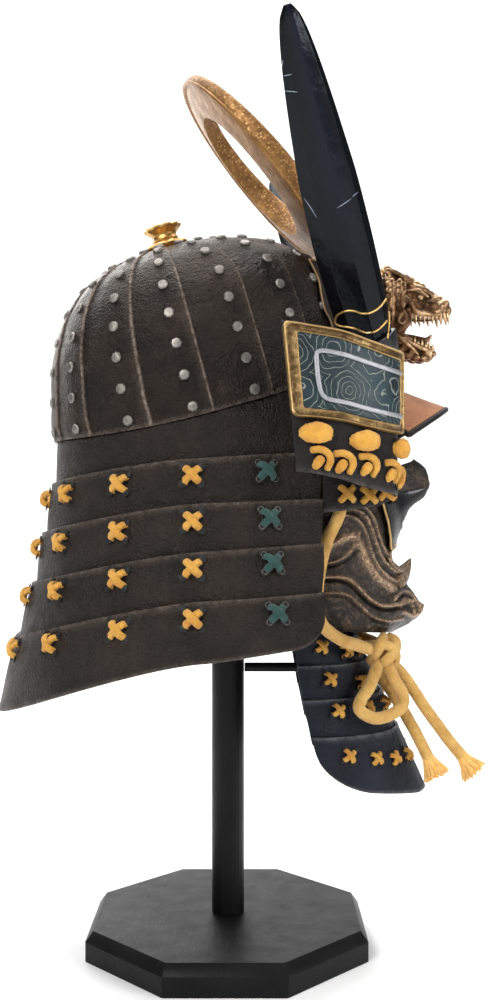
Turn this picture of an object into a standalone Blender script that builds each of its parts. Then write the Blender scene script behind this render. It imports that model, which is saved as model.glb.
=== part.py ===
# Kabuto helmet with face mask, throat guard and crest on its plain display stand.
# Units are metres. X points forward, Y to the wearer's left and Z up.
# The origin is the middle of the stand's underside.

from collections import namedtuple
from math import asin, cos, exp, hypot, pi, radians, sin, sqrt

import bmesh
import bpy
from mathutils import Matrix, Vector

GAP = 0.0003

# Stand
BASE_FLATS = 0.230
BASE_SIDE = 0.0157
BASE_CHAMFER = 0.0085
BASE_CHAMFER_INSET = 0.0061
POST_DIAMETER = 0.0275
ARM_HEIGHT = 0.2320
ARM_DIAMETER = 0.008
PEG_DIAMETER = 0.010
PEG_DROP = 0.005
CHIN_BAR_RISE = 0.0154
CHIN_BAR_DIAMETER = 0.006
CHIN_BAR_CLEARANCE = 0.0012
REST_DIAMETER = 0.076
REST_DEPTH = 0.026
REST_CURVE = 0.7
REST_FOOT_SHARE = 0.96
REST_FACETS = 9

# Bowl, in its own frame that leans back about the Y axis
BOWL_X = -0.0135
BOWL_Z = 0.4321
BOWL_TILT = radians(15)
BOWL_HEIGHT = 0.158
BOWL_FRONT = 0.128
BOWL_REAR = 0.129
BOWL_HALF_WIDTH = 0.108
BOWL_WALL = 0.0022
PLATE_STEP = 0.0014
STEP_TURN = radians(0.4)
CROWN_SHARE = 0.70
CROWN_FADE = 0.04
SLOPE_STEP = 0.006
RIM_SIDE = 0.008
RIM_REAR = 0.025
RIM_FRONT = 0.017

# Crown finial
FINIAL_RADIUS = 0.0195
FINIAL_HEIGHT = 0.021
FINIAL_SHIFT = 0.004
Turning = namedtuple("Turning", "radius height")
FINIAL_PROFILE = (
    Turning(0.00, 0.80),
    Turning(0.55, 0.80),
    Turning(0.62, 1.00),
    Turning(0.86, 0.96),
    Turning(0.80, 0.72),
    Turning(0.60, 0.58),
    Turning(0.62, 0.42),
    Turning(0.98, 0.30),
    Turning(1.00, 0.16),
    Turning(0.95, 0.00),
    Turning(0.00, 0.00),
)

# Neck guard
NECK_X = -0.014
NECK_HALF_LENGTH = 0.179
NECK_HALF_WIDTH = 0.148
NECK_SIDE_Z = BOWL_Z + 0.0080
NECK_DEPTH = 0.184
NECK_FRONT_X = 0.075
NECK_CORNER = 0.021
NECK_REAR_CURVE = 1.4
# Turns of the first columns back from the front edge, in degrees
NECK_FRONT_STEPS = (0.0, 1.2, 3.2, 6.0)
LAME_OVERLAP = 0.008
LEATHER = 0.0025

# Turned-back wings
WING_LEATHER = 0.0025
WING_FRAME_DEPTH = 0.0045
WING_FRAME_BORDER = 0.0072
WING_FRAME_REAR_BORDER = 0.0115
WING_PANEL_DEPTH = 0.0025
WING_PANEL_CLEARANCE = 0.0004
WING_FRAME_OVERHANG = 0.0005
WING_FACE_START = 5
# Where the outer leaf starts to slant, as a share of its length
WING_LEAN_START = 0.5
WING_ROWS = (0.0, 0.35, 0.70, 1.0)

# Peak
PEAK_TURN = radians(38)
PEAK_REACH = 0.0775
PEAK_THICKNESS = 0.003
PEAK_FALL = 0.029
PEAK_SIDE_FALL = 0.015
PEAK_SIDE_SHORTENING = 0.10
PEAK_FLARE = 0.04
PEAK_SAG = 0.002
PEAK_ROWS = (0.0, 0.25, 0.5, 0.75, 1.0)

# Crest plate, horns and sockets
CREST_PLATE_X = 0.128
CREST_PLATE_BOW_RADIUS = 0.086
CREST_PLATE_THICKNESS = 0.003
CREST_PLATE_TOP = BOWL_Z + 0.1395
CREST_PLATE_SHOULDER_DROP = 0.040
CREST_PLATE_SHOULDER_CURVE = 1.5
CREST_PLATE_DIP = 0.006
CREST_PLATE_SEAT = 0.0008
HORN_FOOT = Vector((0.1110, 0.0690, BOWL_Z + 0.0725))
HORN_TIP = Vector((0.0435, 0.2045, BOWL_Z + 0.2757))
HORN_WIDTH = 0.046
HORN_DEPTH = 0.026
HORN_BOW = -0.001
SOCKET_WALL = 0.0035
SOCKET_HEIGHT = 0.022
Block = namedtuple("Block", "along wall")
SOCKET_SECTIONS = (
    Block(0.00, 1.0),
    Block(0.45, 1.0),
    Block(1.00, 0.2),
)

# Crest ring
RING_BACK_X = 0.0230
RING_BACK_Z = BOWL_Z + 0.2209
RING_LEAN = radians(40.3)
RING_RADIUS = 0.0942
RING_WIDTH = 0.034
RING_TOP_THICKNESS = 0.0070
RING_FOOT_THICKNESS = 0.0165
RING_DISH = 0.006
RING_BEAD_INNER = 0.00455
RING_BEAD_OUTER = 0.0021
RING_BEAD_GROOVE = 0.0009
RING_BEAD_RISE = 0.001
TANG_WIDTH = 0.026
TANG_THICKNESS = 0.003
# Where the tang meets the ring's rim, as a share of the rim's thickness
TANG_SHARE = 0.45
TANG_MIDDLE_WIDTH = 0.8
TANG_FOOT_WIDTH = 0.7

# Dragon head, in its own frame behind the jaws
DRAGON_Z = BOWL_Z + 0.1035
DRAGON_LENGTH = 0.059
DRAGON_HALF_WIDTH = 0.031
DRAGON_HALF_HEIGHT = 0.034
DRAGON_MANE_LENGTH = 0.026
MANE_FORWARD = 0.009
MANE_LEAN = 0.004
MANE_FOOT_SHARE = 0.45
MANE_TIP_SHARE = 0.55
MANE_RADIUS = 0.0075
SPIKE_TIP_SHARE = 0.22

# Face mask
MASK_BACK_X = 0.068
MASK_FRONT_X = 0.143
MASK_HALF_WIDTH = 0.0725
MASK_HEIGHT = 0.1475
MASK_TOP_Z = BOWL_Z - 0.0225
MASK_CHIN_Z = MASK_TOP_Z - MASK_HEIGHT
MASK_WALL = 0.003
MASK_NOSE = 0.035
MASK_NOSE_HALF_WIDTH = 0.0135
MASK_ROUNDNESS = 0.85
# How far the upper edge dips beside the nose, and how far out it has dipped, as a share
MASK_EYE_DIP = 0.020
MASK_EYE_SHARE = 0.35
MASK_JAW_RISE = 0.008

# Throat guard
THROAT_X = 0.056
THROAT_TOP_LENGTH = 0.054
THROAT_BOTTOM_LENGTH = 0.112
THROAT_TOP_HALF_WIDTH = 0.059
THROAT_BOTTOM_HALF_WIDTH = 0.074
THROAT_TOP_Z = MASK_CHIN_Z - 0.0015
THROAT_DEPTH = 0.128
THROAT_OVERLAP = 0.006
THROAT_TOP_TURN = radians(92)
THROAT_BOTTOM_TURN = radians(76)
# The hem rises evenly from one share of the width, and rounds up at its corners from another
THROAT_HEM_START = 0.30
THROAT_HEM_RISE = 0.22
THROAT_CORNER_START = 0.70
THROAT_CORNER_RISE = 0.53
# Extra columns of the last lame that shape its rounded corners
THROAT_CORNER_SPREADS = (0.875, 0.960, 0.985)

# Chin cord
CORD_DIAMETER = 0.010
KNOT_RADIUS = 0.0125
KNOT_CENTRE = Vector((0.1270, -0.0370, 0.2489))
FRAY_LENGTH = 0.020
FRAY_SPREAD = 0.0095
Tuft = namedtuple("Tuft", "along spread depth")
FRAY_SECTIONS = (
    Tuft(0.00, 0.00, 1.00),
    Tuft(0.35, 0.25, 0.95),
    Tuft(0.70, 0.60, 0.80),
    Tuft(1.00, 1.00, 0.45),
)

Section = namedtuple("Section", "height front rear side")
BOWL_SECTIONS = (
    Section(0.00, 0.990, 1.000, 1.000),
    Section(0.18, 1.000, 1.000, 1.000),
    Section(0.36, 0.995, 0.955, 0.985),
    Section(0.52, 0.985, 0.900, 0.950),
    Section(0.65, 0.972, 0.828, 0.895),
    Section(0.75, 0.925, 0.750, 0.820),
    Section(0.84, 0.800, 0.648, 0.715),
    Section(0.91, 0.645, 0.522, 0.580),
    Section(0.96, 0.455, 0.360, 0.405),
    Section(0.99, 0.240, 0.210, 0.225),
    Section(1.00, 0.090, 0.090, 0.090),
)
# Turns of the plate seams on one side, in degrees from the front
SEAM_TURNS = (0, 21, 42, 64, 86, 108, 134, 157, 180)

# Outer edge line of each lame: half length and half width as shares of the neck guard's,
# heights as shares of its depth
Edge = namedtuple("Edge", "length width drop rear_drop front_rise")
NECK_EDGES = (
    Edge(0.750, 0.743, 0.183, 0.103, 0.031),
    Edge(0.793, 0.797, 0.370, 0.136, 0.018),
    Edge(0.841, 0.851, 0.565, 0.166, 0.030),
    Edge(0.914, 0.919, 0.761, 0.207, 0.027),
    Edge(1.000, 1.000, 1.000, 0.310, 0.062),
)

# Plan of a wing from its inner end round the front fold to its free edge.
# Along is forward of the inner end and out is away from the middle plane, as shares of
# the wing's own length and spread; top, flap and frame heights are shares of its height.
WING_INNER_X = NECK_FRONT_X
WING_INNER_Y = 0.0868
WING_LENGTH = 0.0565
WING_SPREAD = 0.0467
WING_Z = BOWL_Z - 0.0675
WING_HEIGHT = 0.1420
Fold = namedtuple("Fold", "along out foot top")
WING_FOLDS = (
    Fold(0.000, 0.000, 0.000, 0.660),
    Fold(0.270, -0.050, 0.010, 0.720),
    Fold(0.560, -0.105, 0.025, 0.790),
    Fold(0.800, -0.130, 0.045, 0.840),
    Fold(0.950, -0.080, 0.070, 0.860),
    Fold(1.000, 0.050, 0.090, 0.868),
    Fold(0.960, 0.250, 0.098, 0.872),
    Fold(0.780, 0.500, 0.115, 0.885),
    Fold(0.500, 0.720, 0.140, 0.915),
    Fold(0.150, 0.890, 0.175, 0.955),
    Fold(-0.270, 0.980, 0.205, 0.980),
    Fold(-0.595, 1.000, 0.215, 1.000),
)
WING_FRAME_FOOT_FRONT = 0.425
WING_FRAME_FOOT_REAR = 0.360
WING_REAR_SLANT = 0.0112

Horn = namedtuple("Horn", "along width depth bow")
HORN_SECTIONS = (
    Horn(0.00, 0.88, 1.00, 0.00),
    Horn(0.14, 0.97, 1.00, 0.50),
    Horn(0.30, 1.00, 0.96, 0.90),
    Horn(0.48, 0.96, 0.88, 1.00),
    Horn(0.64, 0.83, 0.76, 0.85),
    Horn(0.78, 0.68, 0.62, 0.60),
    Horn(0.90, 0.50, 0.46, 0.30),
    Horn(0.97, 0.32, 0.30, 0.10),
    Horn(1.00, 0.12, 0.12, 0.00),
)
# Corners of a horn's cross section, across and outward, as shares of half width and depth
HORN_CORNERS = (
    (-1.00, 0.05), (-0.55, 0.62), (0.25, 1.00), (0.80, 0.45),
    (1.00, -0.10), (0.55, -0.55), (-0.15, -0.70), (-0.75, -0.40),
)

Jaw = namedtuple("Jaw", "along height half_height half_width")
DRAGON_SKULL = (
    Jaw(0.00, 0.10, 0.80, 0.85),
    Jaw(0.16, 0.16, 0.90, 1.00),
    Jaw(0.34, 0.16, 0.58, 0.86),
    Jaw(0.52, 0.14, 0.42, 0.70),
    Jaw(0.70, 0.06, 0.30, 0.54),
    Jaw(0.86, 0.02, 0.27, 0.48),
    Jaw(1.00, -0.06, 0.14, 0.30),
)
DRAGON_JAW = (
    Jaw(0.02, -0.86, 0.34, 0.74),
    Jaw(0.20, -0.90, 0.32, 0.70),
    Jaw(0.42, -1.02, 0.22, 0.56),
    Jaw(0.62, -1.12, 0.15, 0.44),
    Jaw(0.80, -1.14, 0.12, 0.30),
)
# Mane locks: turn about the neck in degrees, and length as a share
MANE_LOCKS = ((-62, 0.8), (-28, 0.9), (5, 1.0), (38, 1.0), (70, 1.1), (110, 1.1),
              (142, 1.0), (175, 1.0), (208, 0.9), (242, 0.8))

# Horn spikes and brows on either side of the skull: foot forward as a share of the head's
# length, foot sideways and up, then the reach to the tip, and the radius at the foot
Spike = namedtuple("Spike", "along side up ahead out rise radius")
DRAGON_SPIKES = (
    Spike(0.38, 0.015, 0.016, -0.020, 0.010, 0.026, 0.0055),
    Spike(0.50, 0.013, 0.012, 0.010, 0.006, 0.009, 0.0060),
)

# Mask sections from chin to nose: height as a share, front line as a share of the mask's
# reach, nose as a share of its projection, half width as a share
Face = namedtuple("Face", "height front nose width")
MASK_FACES = (
    Face(0.000, 0.960, 0.00, 0.800),
    Face(0.050, 1.060, 0.20, 0.840),
    Face(0.130, 1.120, 0.40, 0.870),
    Face(0.220, 1.080, 0.28, 0.900),
    Face(0.310, 1.030, 0.15, 0.930),
    Face(0.400, 1.040, 0.20, 0.960),
    Face(0.470, 0.980, 0.15, 0.980),
    Face(0.560, 0.950, 0.00, 0.995),
    Face(0.640, 0.970, 0.25, 1.000),
    Face(0.720, 0.970, 0.42, 1.000),
    Face(0.795, 0.950, 0.85, 0.995),
    Face(0.865, 0.930, 0.98, 0.990),
    Face(0.940, 0.900, 0.95, 0.980),
    Face(1.000, 0.880, 0.70, 0.970),
)
MASK_COLUMNS = (0.0, 0.035, 0.08, 0.14, 0.21, 0.30, 0.40, 0.52, 0.66, 0.82, 1.0)
MASK_MOUTH_COLUMNS = 5
MASK_MOUTH_ROWS = (6, 8)

# The cord's route points are chosen by hand along the strap's real path
CORD_RIGHT_ROUTE = (
    (0.0925, -0.0768, 0.3906), (0.0890, -0.0774, 0.3646), (0.0785, -0.0784, 0.3410),
    (0.0728, -0.0786, 0.3156), (0.0715, -0.0768, 0.2956), (0.0755, -0.0738, 0.2766),
    (0.0900, -0.0660, 0.2640), (0.1040, -0.0550, 0.2580),
)
CORD_LEFT_ROUTE = (
    (0.1385, -0.0190, 0.2475), (0.1360, 0.0000, 0.2480), (0.1290, 0.0200, 0.2500),
    (0.1180, 0.0380, 0.2530), (0.1030, 0.0540, 0.2580), (0.0880, 0.0660, 0.2650),
    (0.0755, 0.0738, 0.2766), (0.0715, 0.0768, 0.2956), (0.0728, 0.0786, 0.3156),
    (0.0785, 0.0784, 0.3410), (0.0890, 0.0774, 0.3646), (0.0925, 0.0768, 0.3906),
)
CORD_BOW_ROUTE = (
    (0.1150, -0.0560, 0.2250), (0.1075, -0.0610, 0.2150), (0.1065, -0.0630, 0.2070),
    (0.1170, -0.0600, 0.2001), (0.1300, -0.0535, 0.2006), (0.1420, -0.0455, 0.2066),
    (0.1430, -0.0440, 0.2160), (0.1370, -0.0470, 0.2270),
)
CORD_TAIL_1_ROUTE = (
    (0.1450, -0.0300, 0.2300), (0.1530, -0.0290, 0.2190), (0.1620, -0.0290, 0.2050),
    (0.1730, -0.0300, 0.1896), (0.1850, -0.0310, 0.1736), (0.1950, -0.0320, 0.1616),
)
CORD_TAIL_2_ROUTE = (
    (0.1270, -0.0220, 0.2300), (0.1360, -0.0240, 0.2160), (0.1450, -0.0290, 0.2010),
    (0.1540, -0.0340, 0.1850), (0.1610, -0.0370, 0.1710), (0.1655, -0.0385, 0.1616),
)

Finish = namedtuple("Finish", "colour roughness metallic")
BLACK_LACQUER = Finish((0.015, 0.015, 0.016), 0.42, 0.0)
WORN_IRON = Finish((0.045, 0.036, 0.030), 0.55, 0.35)
DARK_LEATHER = Finish((0.040, 0.030, 0.024), 0.60, 0.0)
THROAT_LEATHER = Finish((0.018, 0.018, 0.022), 0.50, 0.0)
TAN_LEATHER = Finish((0.350, 0.150, 0.070), 0.55, 0.0)
ANTIQUE_GOLD = Finish((0.330, 0.200, 0.075), 0.40, 0.9)
BRIGHT_GOLD = Finish((0.620, 0.380, 0.130), 0.32, 1.0)
TEAL_LACQUER = Finish((0.015, 0.045, 0.055), 0.40, 0.1)
HORN_LACQUER = Finish((0.020, 0.022, 0.030), 0.28, 0.1)
AGED_BRONZE = Finish((0.200, 0.110, 0.060), 0.45, 0.85)
MASK_BRONZE = Finish((0.055, 0.038, 0.030), 0.45, 0.45)
YELLOW_COTTON = Finish((0.640, 0.340, 0.090), 0.90, 0.0)


def clear_scene():
    for thing in list(bpy.data.objects):
        bpy.data.objects.remove(thing, do_unlink=True)


def collection_named(name):
    collection = bpy.data.collections.new(name)
    bpy.context.scene.collection.children.link(collection)
    return collection


def material_for(name, finish):
    material = bpy.data.materials.new(name)
    material.use_nodes = True
    shader = material.node_tree.nodes["Principled BSDF"]
    shader.inputs["Base Color"].default_value = (*finish.colour, 1.0)
    shader.inputs["Roughness"].default_value = finish.roughness
    shader.inputs["Metallic"].default_value = finish.metallic
    return material


def add_object(name, data, finish, home, smooth_angle=35):
    piece = bpy.data.objects.new(name, data)
    home.objects.link(piece)
    data.materials.append(material_for(name, finish))
    if isinstance(data, bpy.types.Mesh):
        data.shade_smooth()
        data.set_sharp_from_angle(angle=radians(smooth_angle))
    return piece


def mesh_from(name, bm):
    bmesh.ops.recalc_face_normals(bm, faces=bm.faces)
    mesh = bpy.data.meshes.new(name)
    bm.to_mesh(mesh)
    bm.free()
    return mesh


def turned(name, profile, steps, finish, home):
    """A profile of radius and height pairs, from the top down its outer side, turned about Z."""
    mesh = bpy.data.meshes.new(name)
    edges = [(i, i + 1) for i in range(len(profile) - 1)]
    mesh.from_pydata([(radius, 0.0, height) for radius, height in profile], edges, [])
    piece = add_object(name, mesh, finish, home)
    screw = piece.modifiers.new("turn", "SCREW")
    screw.steps = steps
    screw.render_steps = steps
    screw.use_merge_vertices = True
    screw.merge_threshold = 0.00001
    return piece


def add_grid(bm, rows, wrap=False, skip=()):
    """Quads between rows of points; skip names (row, column) cells left open."""
    verts = [[bm.verts.new(point) for point in row] for row in rows]
    count = len(rows[0])
    columns = count if wrap else count - 1
    for i in range(len(rows) - 1):
        for j in range(columns):
            if (i, j) in skip:
                continue
            k = (j + 1) % count
            bm.faces.new((verts[i][j], verts[i][k], verts[i + 1][k], verts[i + 1][j]))
    return verts


def sheet(name, rows, thickness, finish, home, wrap=False, offset=-1.0, skip=()):
    """A wall of even thickness on a grid of points."""
    bm = bmesh.new()
    add_grid(bm, rows, wrap, skip)
    loose = [vert for vert in bm.verts if not vert.link_faces]
    bmesh.ops.delete(bm, geom=loose, context="VERTS")
    mesh = bpy.data.meshes.new(name)
    bm.to_mesh(mesh)
    bm.free()
    piece = add_object(name, mesh, finish, home)
    wall = piece.modifiers.new("wall", "SOLIDIFY")
    wall.thickness = thickness
    wall.offset = offset
    wall.use_even_offset = True
    return piece


def shell_between(name, outer, inner, finish, home, wrap=False):
    """A closed wall between an outer and an inner grid of points."""
    bm = bmesh.new()
    out = add_grid(bm, outer, wrap)
    into = add_grid(bm, inner, wrap)
    count = len(outer[0])
    columns = count if wrap else count - 1
    for i in (0, -1):
        for j in range(columns):
            k = (j + 1) % count
            bm.faces.new((out[i][j], out[i][k], into[i][k], into[i][j]))
    if not wrap:
        for j in (0, -1):
            for i in range(len(outer) - 1):
                bm.faces.new((out[i][j], out[i + 1][j], into[i + 1][j], into[i][j]))
    return add_object(name, mesh_from(name, bm), finish, home)


def add_loft(bm, rings):
    """A closed solid through rings of equal count, with flat ends."""
    verts = add_grid(bm, rings, wrap=True)
    bm.faces.new(verts[0])
    bm.faces.new(verts[-1])


def lofted(name, rings, finish, home, smooth_angle=35):
    bm = bmesh.new()
    add_loft(bm, rings)
    return add_object(name, mesh_from(name, bm), finish, home, smooth_angle)


def share_at(table, value, key, column):
    """A column of a table at a value of its key column, straight between rows."""
    for low, high in zip(table, table[1:]):
        start, end = getattr(low, key), getattr(high, key)
        if value <= end:
            part = (value - start) / (end - start)
            return getattr(low, column) + part * (getattr(high, column) - getattr(low, column))
    return getattr(table[-1], column)


def make_stand(home):
    half = BASE_FLATS / 2 / cos(pi / 8)
    top = half - BASE_CHAMFER_INSET / cos(pi / 8)
    height = BASE_SIDE + BASE_CHAMFER
    profile = ((0.0, height), (top, height), (half, BASE_SIDE), (half, 0.0), (0.0, 0.0))
    base = turned("stand_base", profile, 8, BLACK_LACQUER, home)
    base.rotation_euler = (0.0, 0.0, pi / 8)

    radius = POST_DIAMETER / 2
    crown = crown_inside_z()
    post_top = crown - REST_DEPTH - GAP
    profile = ((0.0, post_top), (radius, post_top), (radius, height + GAP), (0.0, height + GAP))
    turned("stand_post", profile, 24, BLACK_LACQUER, home)

    rest = REST_DIAMETER / 2
    profile = [(rest * sin(turn), crown - rest_drop(rest * sin(turn)))
               for turn in (pi / 2 * i / REST_FACETS for i in range(REST_FACETS + 1))]
    profile += [(rest * REST_FOOT_SHARE, crown - REST_DEPTH), (0.0, crown - REST_DEPTH)]
    turned("stand_head_rest", profile, 20, BLACK_LACQUER, home)
    return radius


def rod_between(name, start, end, radius, home):
    """A plain round bar with flat ends."""
    along = end - start
    bm = bmesh.new()
    turn = along.to_track_quat("Z", "Y").to_matrix().to_4x4()
    bmesh.ops.create_cone(bm, cap_ends=True, segments=12, radius1=radius, radius2=radius,
                          depth=along.length, matrix=Matrix.Translation((start + end) / 2) @ turn)
    return add_object(name, mesh_from(name, bm), BLACK_LACQUER, home)


def make_arm(home, post_radius):
    """A rod from the post to an upright peg, whose bar reaches inside the mask's chin."""
    peg_x = throat_point(0.0, 0.0, LEATHER + GAP + PEG_DIAMETER / 2).x
    bar_z = MASK_CHIN_Z + CHIN_BAR_RISE
    half = CHIN_BAR_DIAMETER / 2
    reach = min(mask_inside_x(y, bar_z + z) for y in (-half, 0.0, half) for z in (-half, 0.0, half))
    arm = rod_between("stand_arm", Vector((post_radius + GAP, 0.0, ARM_HEIGHT)),
                      Vector((peg_x, 0.0, ARM_HEIGHT)), ARM_DIAMETER / 2, home)
    peg = rod_between("peg", Vector((peg_x, 0.0, ARM_HEIGHT - PEG_DROP)),
                      Vector((peg_x, 0.0, bar_z + PEG_DROP)), PEG_DIAMETER / 2, home)
    bar = rod_between("bar", Vector((peg_x, 0.0, bar_z)), Vector((reach - GAP, 0.0, bar_z)),
                      half, home)
    fuse(arm, [peg, bar])


def fuse(piece, others):
    """Join touching shapes into one body with Boolean unions."""
    for other in others:
        union = piece.modifiers.new("union", "BOOLEAN")
        union.operation = "UNION"
        union.object = other
        bpy.context.view_layer.update()
        depsgraph = bpy.context.evaluated_depsgraph_get()
        joined = bpy.data.meshes.new_from_object(piece.evaluated_get(depsgraph))
        piece.modifiers.clear()
        piece.data = joined
        bpy.data.objects.remove(other, do_unlink=True)
    piece.data.shade_smooth()
    piece.data.set_sharp_from_angle(angle=radians(35))


def bowl_world(x, y, z):
    """From the bowl's leaning frame to the model's."""
    return Vector((BOWL_X + x * cos(BOWL_TILT) - z * sin(BOWL_TILT), y,
                   BOWL_Z + x * sin(BOWL_TILT) + z * cos(BOWL_TILT)))


def rim_height(turn):
    """Height of the rim in the bowl's frame."""
    front = max(0.0, cos(turn)) ** 2
    rear = max(0.0, -cos(turn)) ** 2
    return RIM_SIDE + (RIM_FRONT - RIM_SIDE) * front + (RIM_REAR - RIM_SIDE) * rear


def bowl_shape(turn, height):
    """Distance forward and sideways of the bowl's plain surface at a height in its frame."""
    share = height / BOWL_HEIGHT
    if cos(turn) > 0:
        reach = BOWL_FRONT * share_at(BOWL_SECTIONS, share, "height", "front")
    else:
        reach = BOWL_REAR * share_at(BOWL_SECTIONS, share, "height", "rear")
    half = BOWL_HALF_WIDTH * share_at(BOWL_SECTIONS, share, "height", "side")
    return reach * cos(turn), half * sin(turn)


def bowl_point(turn, height, proud=0.0):
    """A point of the bowl's surface, moved out along the surface's slope by proud."""
    x, y = bowl_shape(turn, height)
    low, high = max(0.0, height - SLOPE_STEP), min(BOWL_HEIGHT, height + SLOPE_STEP)
    radius_low = hypot(*bowl_shape(turn, low))
    radius_high = hypot(*bowl_shape(turn, high))
    slope = hypot(high - low, radius_high - radius_low)
    out, up = (high - low) / slope, (radius_low - radius_high) / slope
    radius = hypot(x, y)
    return bowl_world(x + x / radius * out * proud, y + y / radius * out * proud,
                      height + up * proud)


def rim_point(turn, proud=0.0):
    x, y = bowl_shape(turn, rim_height(turn))
    radius = hypot(x, y)
    return bowl_world(x * (1 + proud / radius), y * (1 + proud / radius), rim_height(turn))


def rest_drop(radius):
    """How far the head rest's dome falls from its top at a distance from the post's axis."""
    share = min(1.0, radius / (REST_DIAMETER / 2))
    return REST_DEPTH * REST_CURVE * (1 - sqrt(1 - share ** 2))


def crown_inside_z():
    """Height of the head rest's top at which the dome just meets the bowl's inner face."""
    seat = BOWL_Z + BOWL_HEIGHT
    for i in range(60):
        height = BOWL_HEIGHT * (CROWN_SHARE + (1 - CROWN_SHARE) * i / 60)
        for k in range(48):
            point = bowl_point(2 * pi * k / 48, height, -BOWL_WALL)
            radius = hypot(point.x, point.y)
            if radius < REST_DIAMETER / 2:
                seat = min(seat, point.z + rest_drop(radius))
    return seat


def plate_columns():
    """Turn and rise of the surface at each column round the bowl.

    Each plate rises to its front edge, which lies over the plate in front of it.
    """
    side = []
    seams = [radians(turn) for turn in SEAM_TURNS]
    for k, (front, rear) in enumerate(zip(seams, seams[1:])):
        last = k == len(seams) - 2
        start = front + STEP_TURN if k else front
        side.append((start, PLATE_STEP))
        side.append(((start + rear) / 2, PLATE_STEP if last else PLATE_STEP / 2))
        side.append((rear, PLATE_STEP if last else 0.0))
    mirrored = [(-turn, rise) for turn, rise in side[-2:0:-1]]
    return side + mirrored


def make_bowl(home):
    columns = plate_columns()
    outer, inner = [], []
    for section in BOWL_SECTIONS:
        fade = min(1.0, (1.0 - section.height) / CROWN_FADE)
        out_row, in_row = [], []
        for turn, rise in columns:
            height = rim_height(turn) + (BOWL_HEIGHT - rim_height(turn)) * section.height
            out_row.append(bowl_point(turn, height, rise * fade))
            in_row.append(bowl_point(turn, height, -BOWL_WALL))
        outer.append(out_row)
        inner.append(in_row)
    shell_between("bowl", outer, inner, WORN_IRON, home, wrap=True)


def make_finial(home):
    """A low two-tier cup over the crown hole."""
    seat = BOWL_HEIGHT + 2 * GAP
    profile = [(FINIAL_RADIUS * spot.radius, FINIAL_HEIGHT * spot.height)
               for spot in FINIAL_PROFILE]
    piece = turned("crown_finial", profile, 24, BRIGHT_GOLD, home)
    piece.matrix_world = Matrix.Translation(bowl_world(FINIAL_SHIFT, 0, seat)) @ Matrix.Rotation(
        -BOWL_TILT, 4, "Y")


def edge_point(edge, turn, inset=0.0):
    """A point on a lame's edge line, moved inward by inset."""
    x = NECK_X + (NECK_HALF_LENGTH * edge.length - inset) * cos(turn)
    y = (NECK_HALF_WIDTH * edge.width - inset) * sin(turn)
    z = NECK_SIDE_Z - NECK_DEPTH * edge.drop
    if x < NECK_X:
        back = (NECK_X - x) / (NECK_HALF_LENGTH * edge.length)
        z -= NECK_DEPTH * edge.rear_drop * back ** NECK_REAR_CURVE
    else:
        z += NECK_DEPTH * edge.front_rise * (x - NECK_X) / (NECK_FRONT_X - NECK_X)
    return Vector((x, y, z))


def front_turn(edge):
    """The turn at which an edge line reaches the neck guard's front."""
    ratio = (NECK_FRONT_X - NECK_X) / (NECK_HALF_LENGTH * edge.length)
    return pi / 2 - asin(min(1.0, ratio))


def neck_turns(start, count=31):
    """Turns from the right front edge round the back to the left one, closer at the edges."""
    ends = [radians(degrees) for degrees in NECK_FRONT_STEPS]
    span = 2 * pi - 2 * start
    middle = [span * i / (count - 1) for i in range(1, count - 1)]
    turns = ends + [turn for turn in middle if ends[-1] < turn < span - ends[-1]]
    turns += [span - turn for turn in reversed(ends)]
    return [start + turn for turn in turns]


def make_neck_band(home):
    """From under the bowl's rim to inside the first lame."""
    first = NECK_EDGES[0]
    rows = [[], [], []]
    for turn in neck_turns(front_turn(first)):
        top = rim_point(turn) - Vector((0.0, 0.0, 2 * GAP))
        hidden = edge_point(first, turn, LEATHER + GAP * 1.5)
        rows[0].append(top)
        rows[1].append(hidden)
        rows[2].append(hidden - Vector((0.0, 0.0, LAME_OVERLAP)))
    sheet("neck_band", rows, LEATHER, DARK_LEATHER, home, offset=1.0)


def make_neck_lames(home):
    count = len(NECK_EDGES)
    for k, (top, low) in enumerate(zip(NECK_EDGES, NECK_EDGES[1:])):
        last = k == count - 2
        inset = 0.0 if last else LEATHER + GAP * 2
        starts = (front_turn(top), front_turn(low))
        rows = [[], [], []]
        for upper, lower in zip(neck_turns(starts[0]), neck_turns(starts[1])):
            head = edge_point(top, upper)
            foot = edge_point(low, lower, inset)
            if last:
                from_front = min(lower - starts[1], 2 * pi - starts[1] - lower)
                near = max(0.0, 1 - from_front * NECK_HALF_WIDTH / NECK_CORNER)
                rise = NECK_CORNER * (1 - sqrt(1 - near ** 2))
                foot = foot.lerp(head, rise / (head.z - foot.z))
                tail = foot
            else:
                slope = (foot - head) / (head.z - foot.z)
                tail = foot + slope * LAME_OVERLAP
            rows[0].append(head)
            rows[1].append(head.lerp(foot, 0.5))
            rows[2].append(foot if last else tail)
        sheet(f"neck_lame_{k + 1}", rows, LEATHER, DARK_LEATHER, home, offset=1.0)


def smooth_route(points, count):
    """Evenly shared points on a smooth curve through the given ones."""
    points = [Vector(point) for point in points]
    ends = [points[0] * 2 - points[1]] + points + [points[-1] * 2 - points[-2]]
    fine = []
    for a, b, c, d in zip(ends, ends[1:], ends[2:], ends[3:]):
        for i in range(16):
            t = i / 16
            fine.append(0.5 * (2 * b + (c - a) * t + (2 * a - 5 * b + 4 * c - d) * t * t
                               + (3 * b - a - 3 * c + d) * t ** 3))
    fine.append(points[-1])
    lengths = [0.0]
    for a, b in zip(fine, fine[1:]):
        lengths.append(lengths[-1] + (b - a).length)
    route, j = [], 0
    for i in range(count):
        goal = lengths[-1] * i / (count - 1)
        while j < len(fine) - 2 and lengths[j + 1] < goal:
            j += 1
        part = (goal - lengths[j]) / (lengths[j + 1] - lengths[j])
        route.append(fine[j].lerp(fine[j + 1], min(1.0, part)))
    return route


Upright = namedtuple("Upright", "x y foot top slant")


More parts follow.
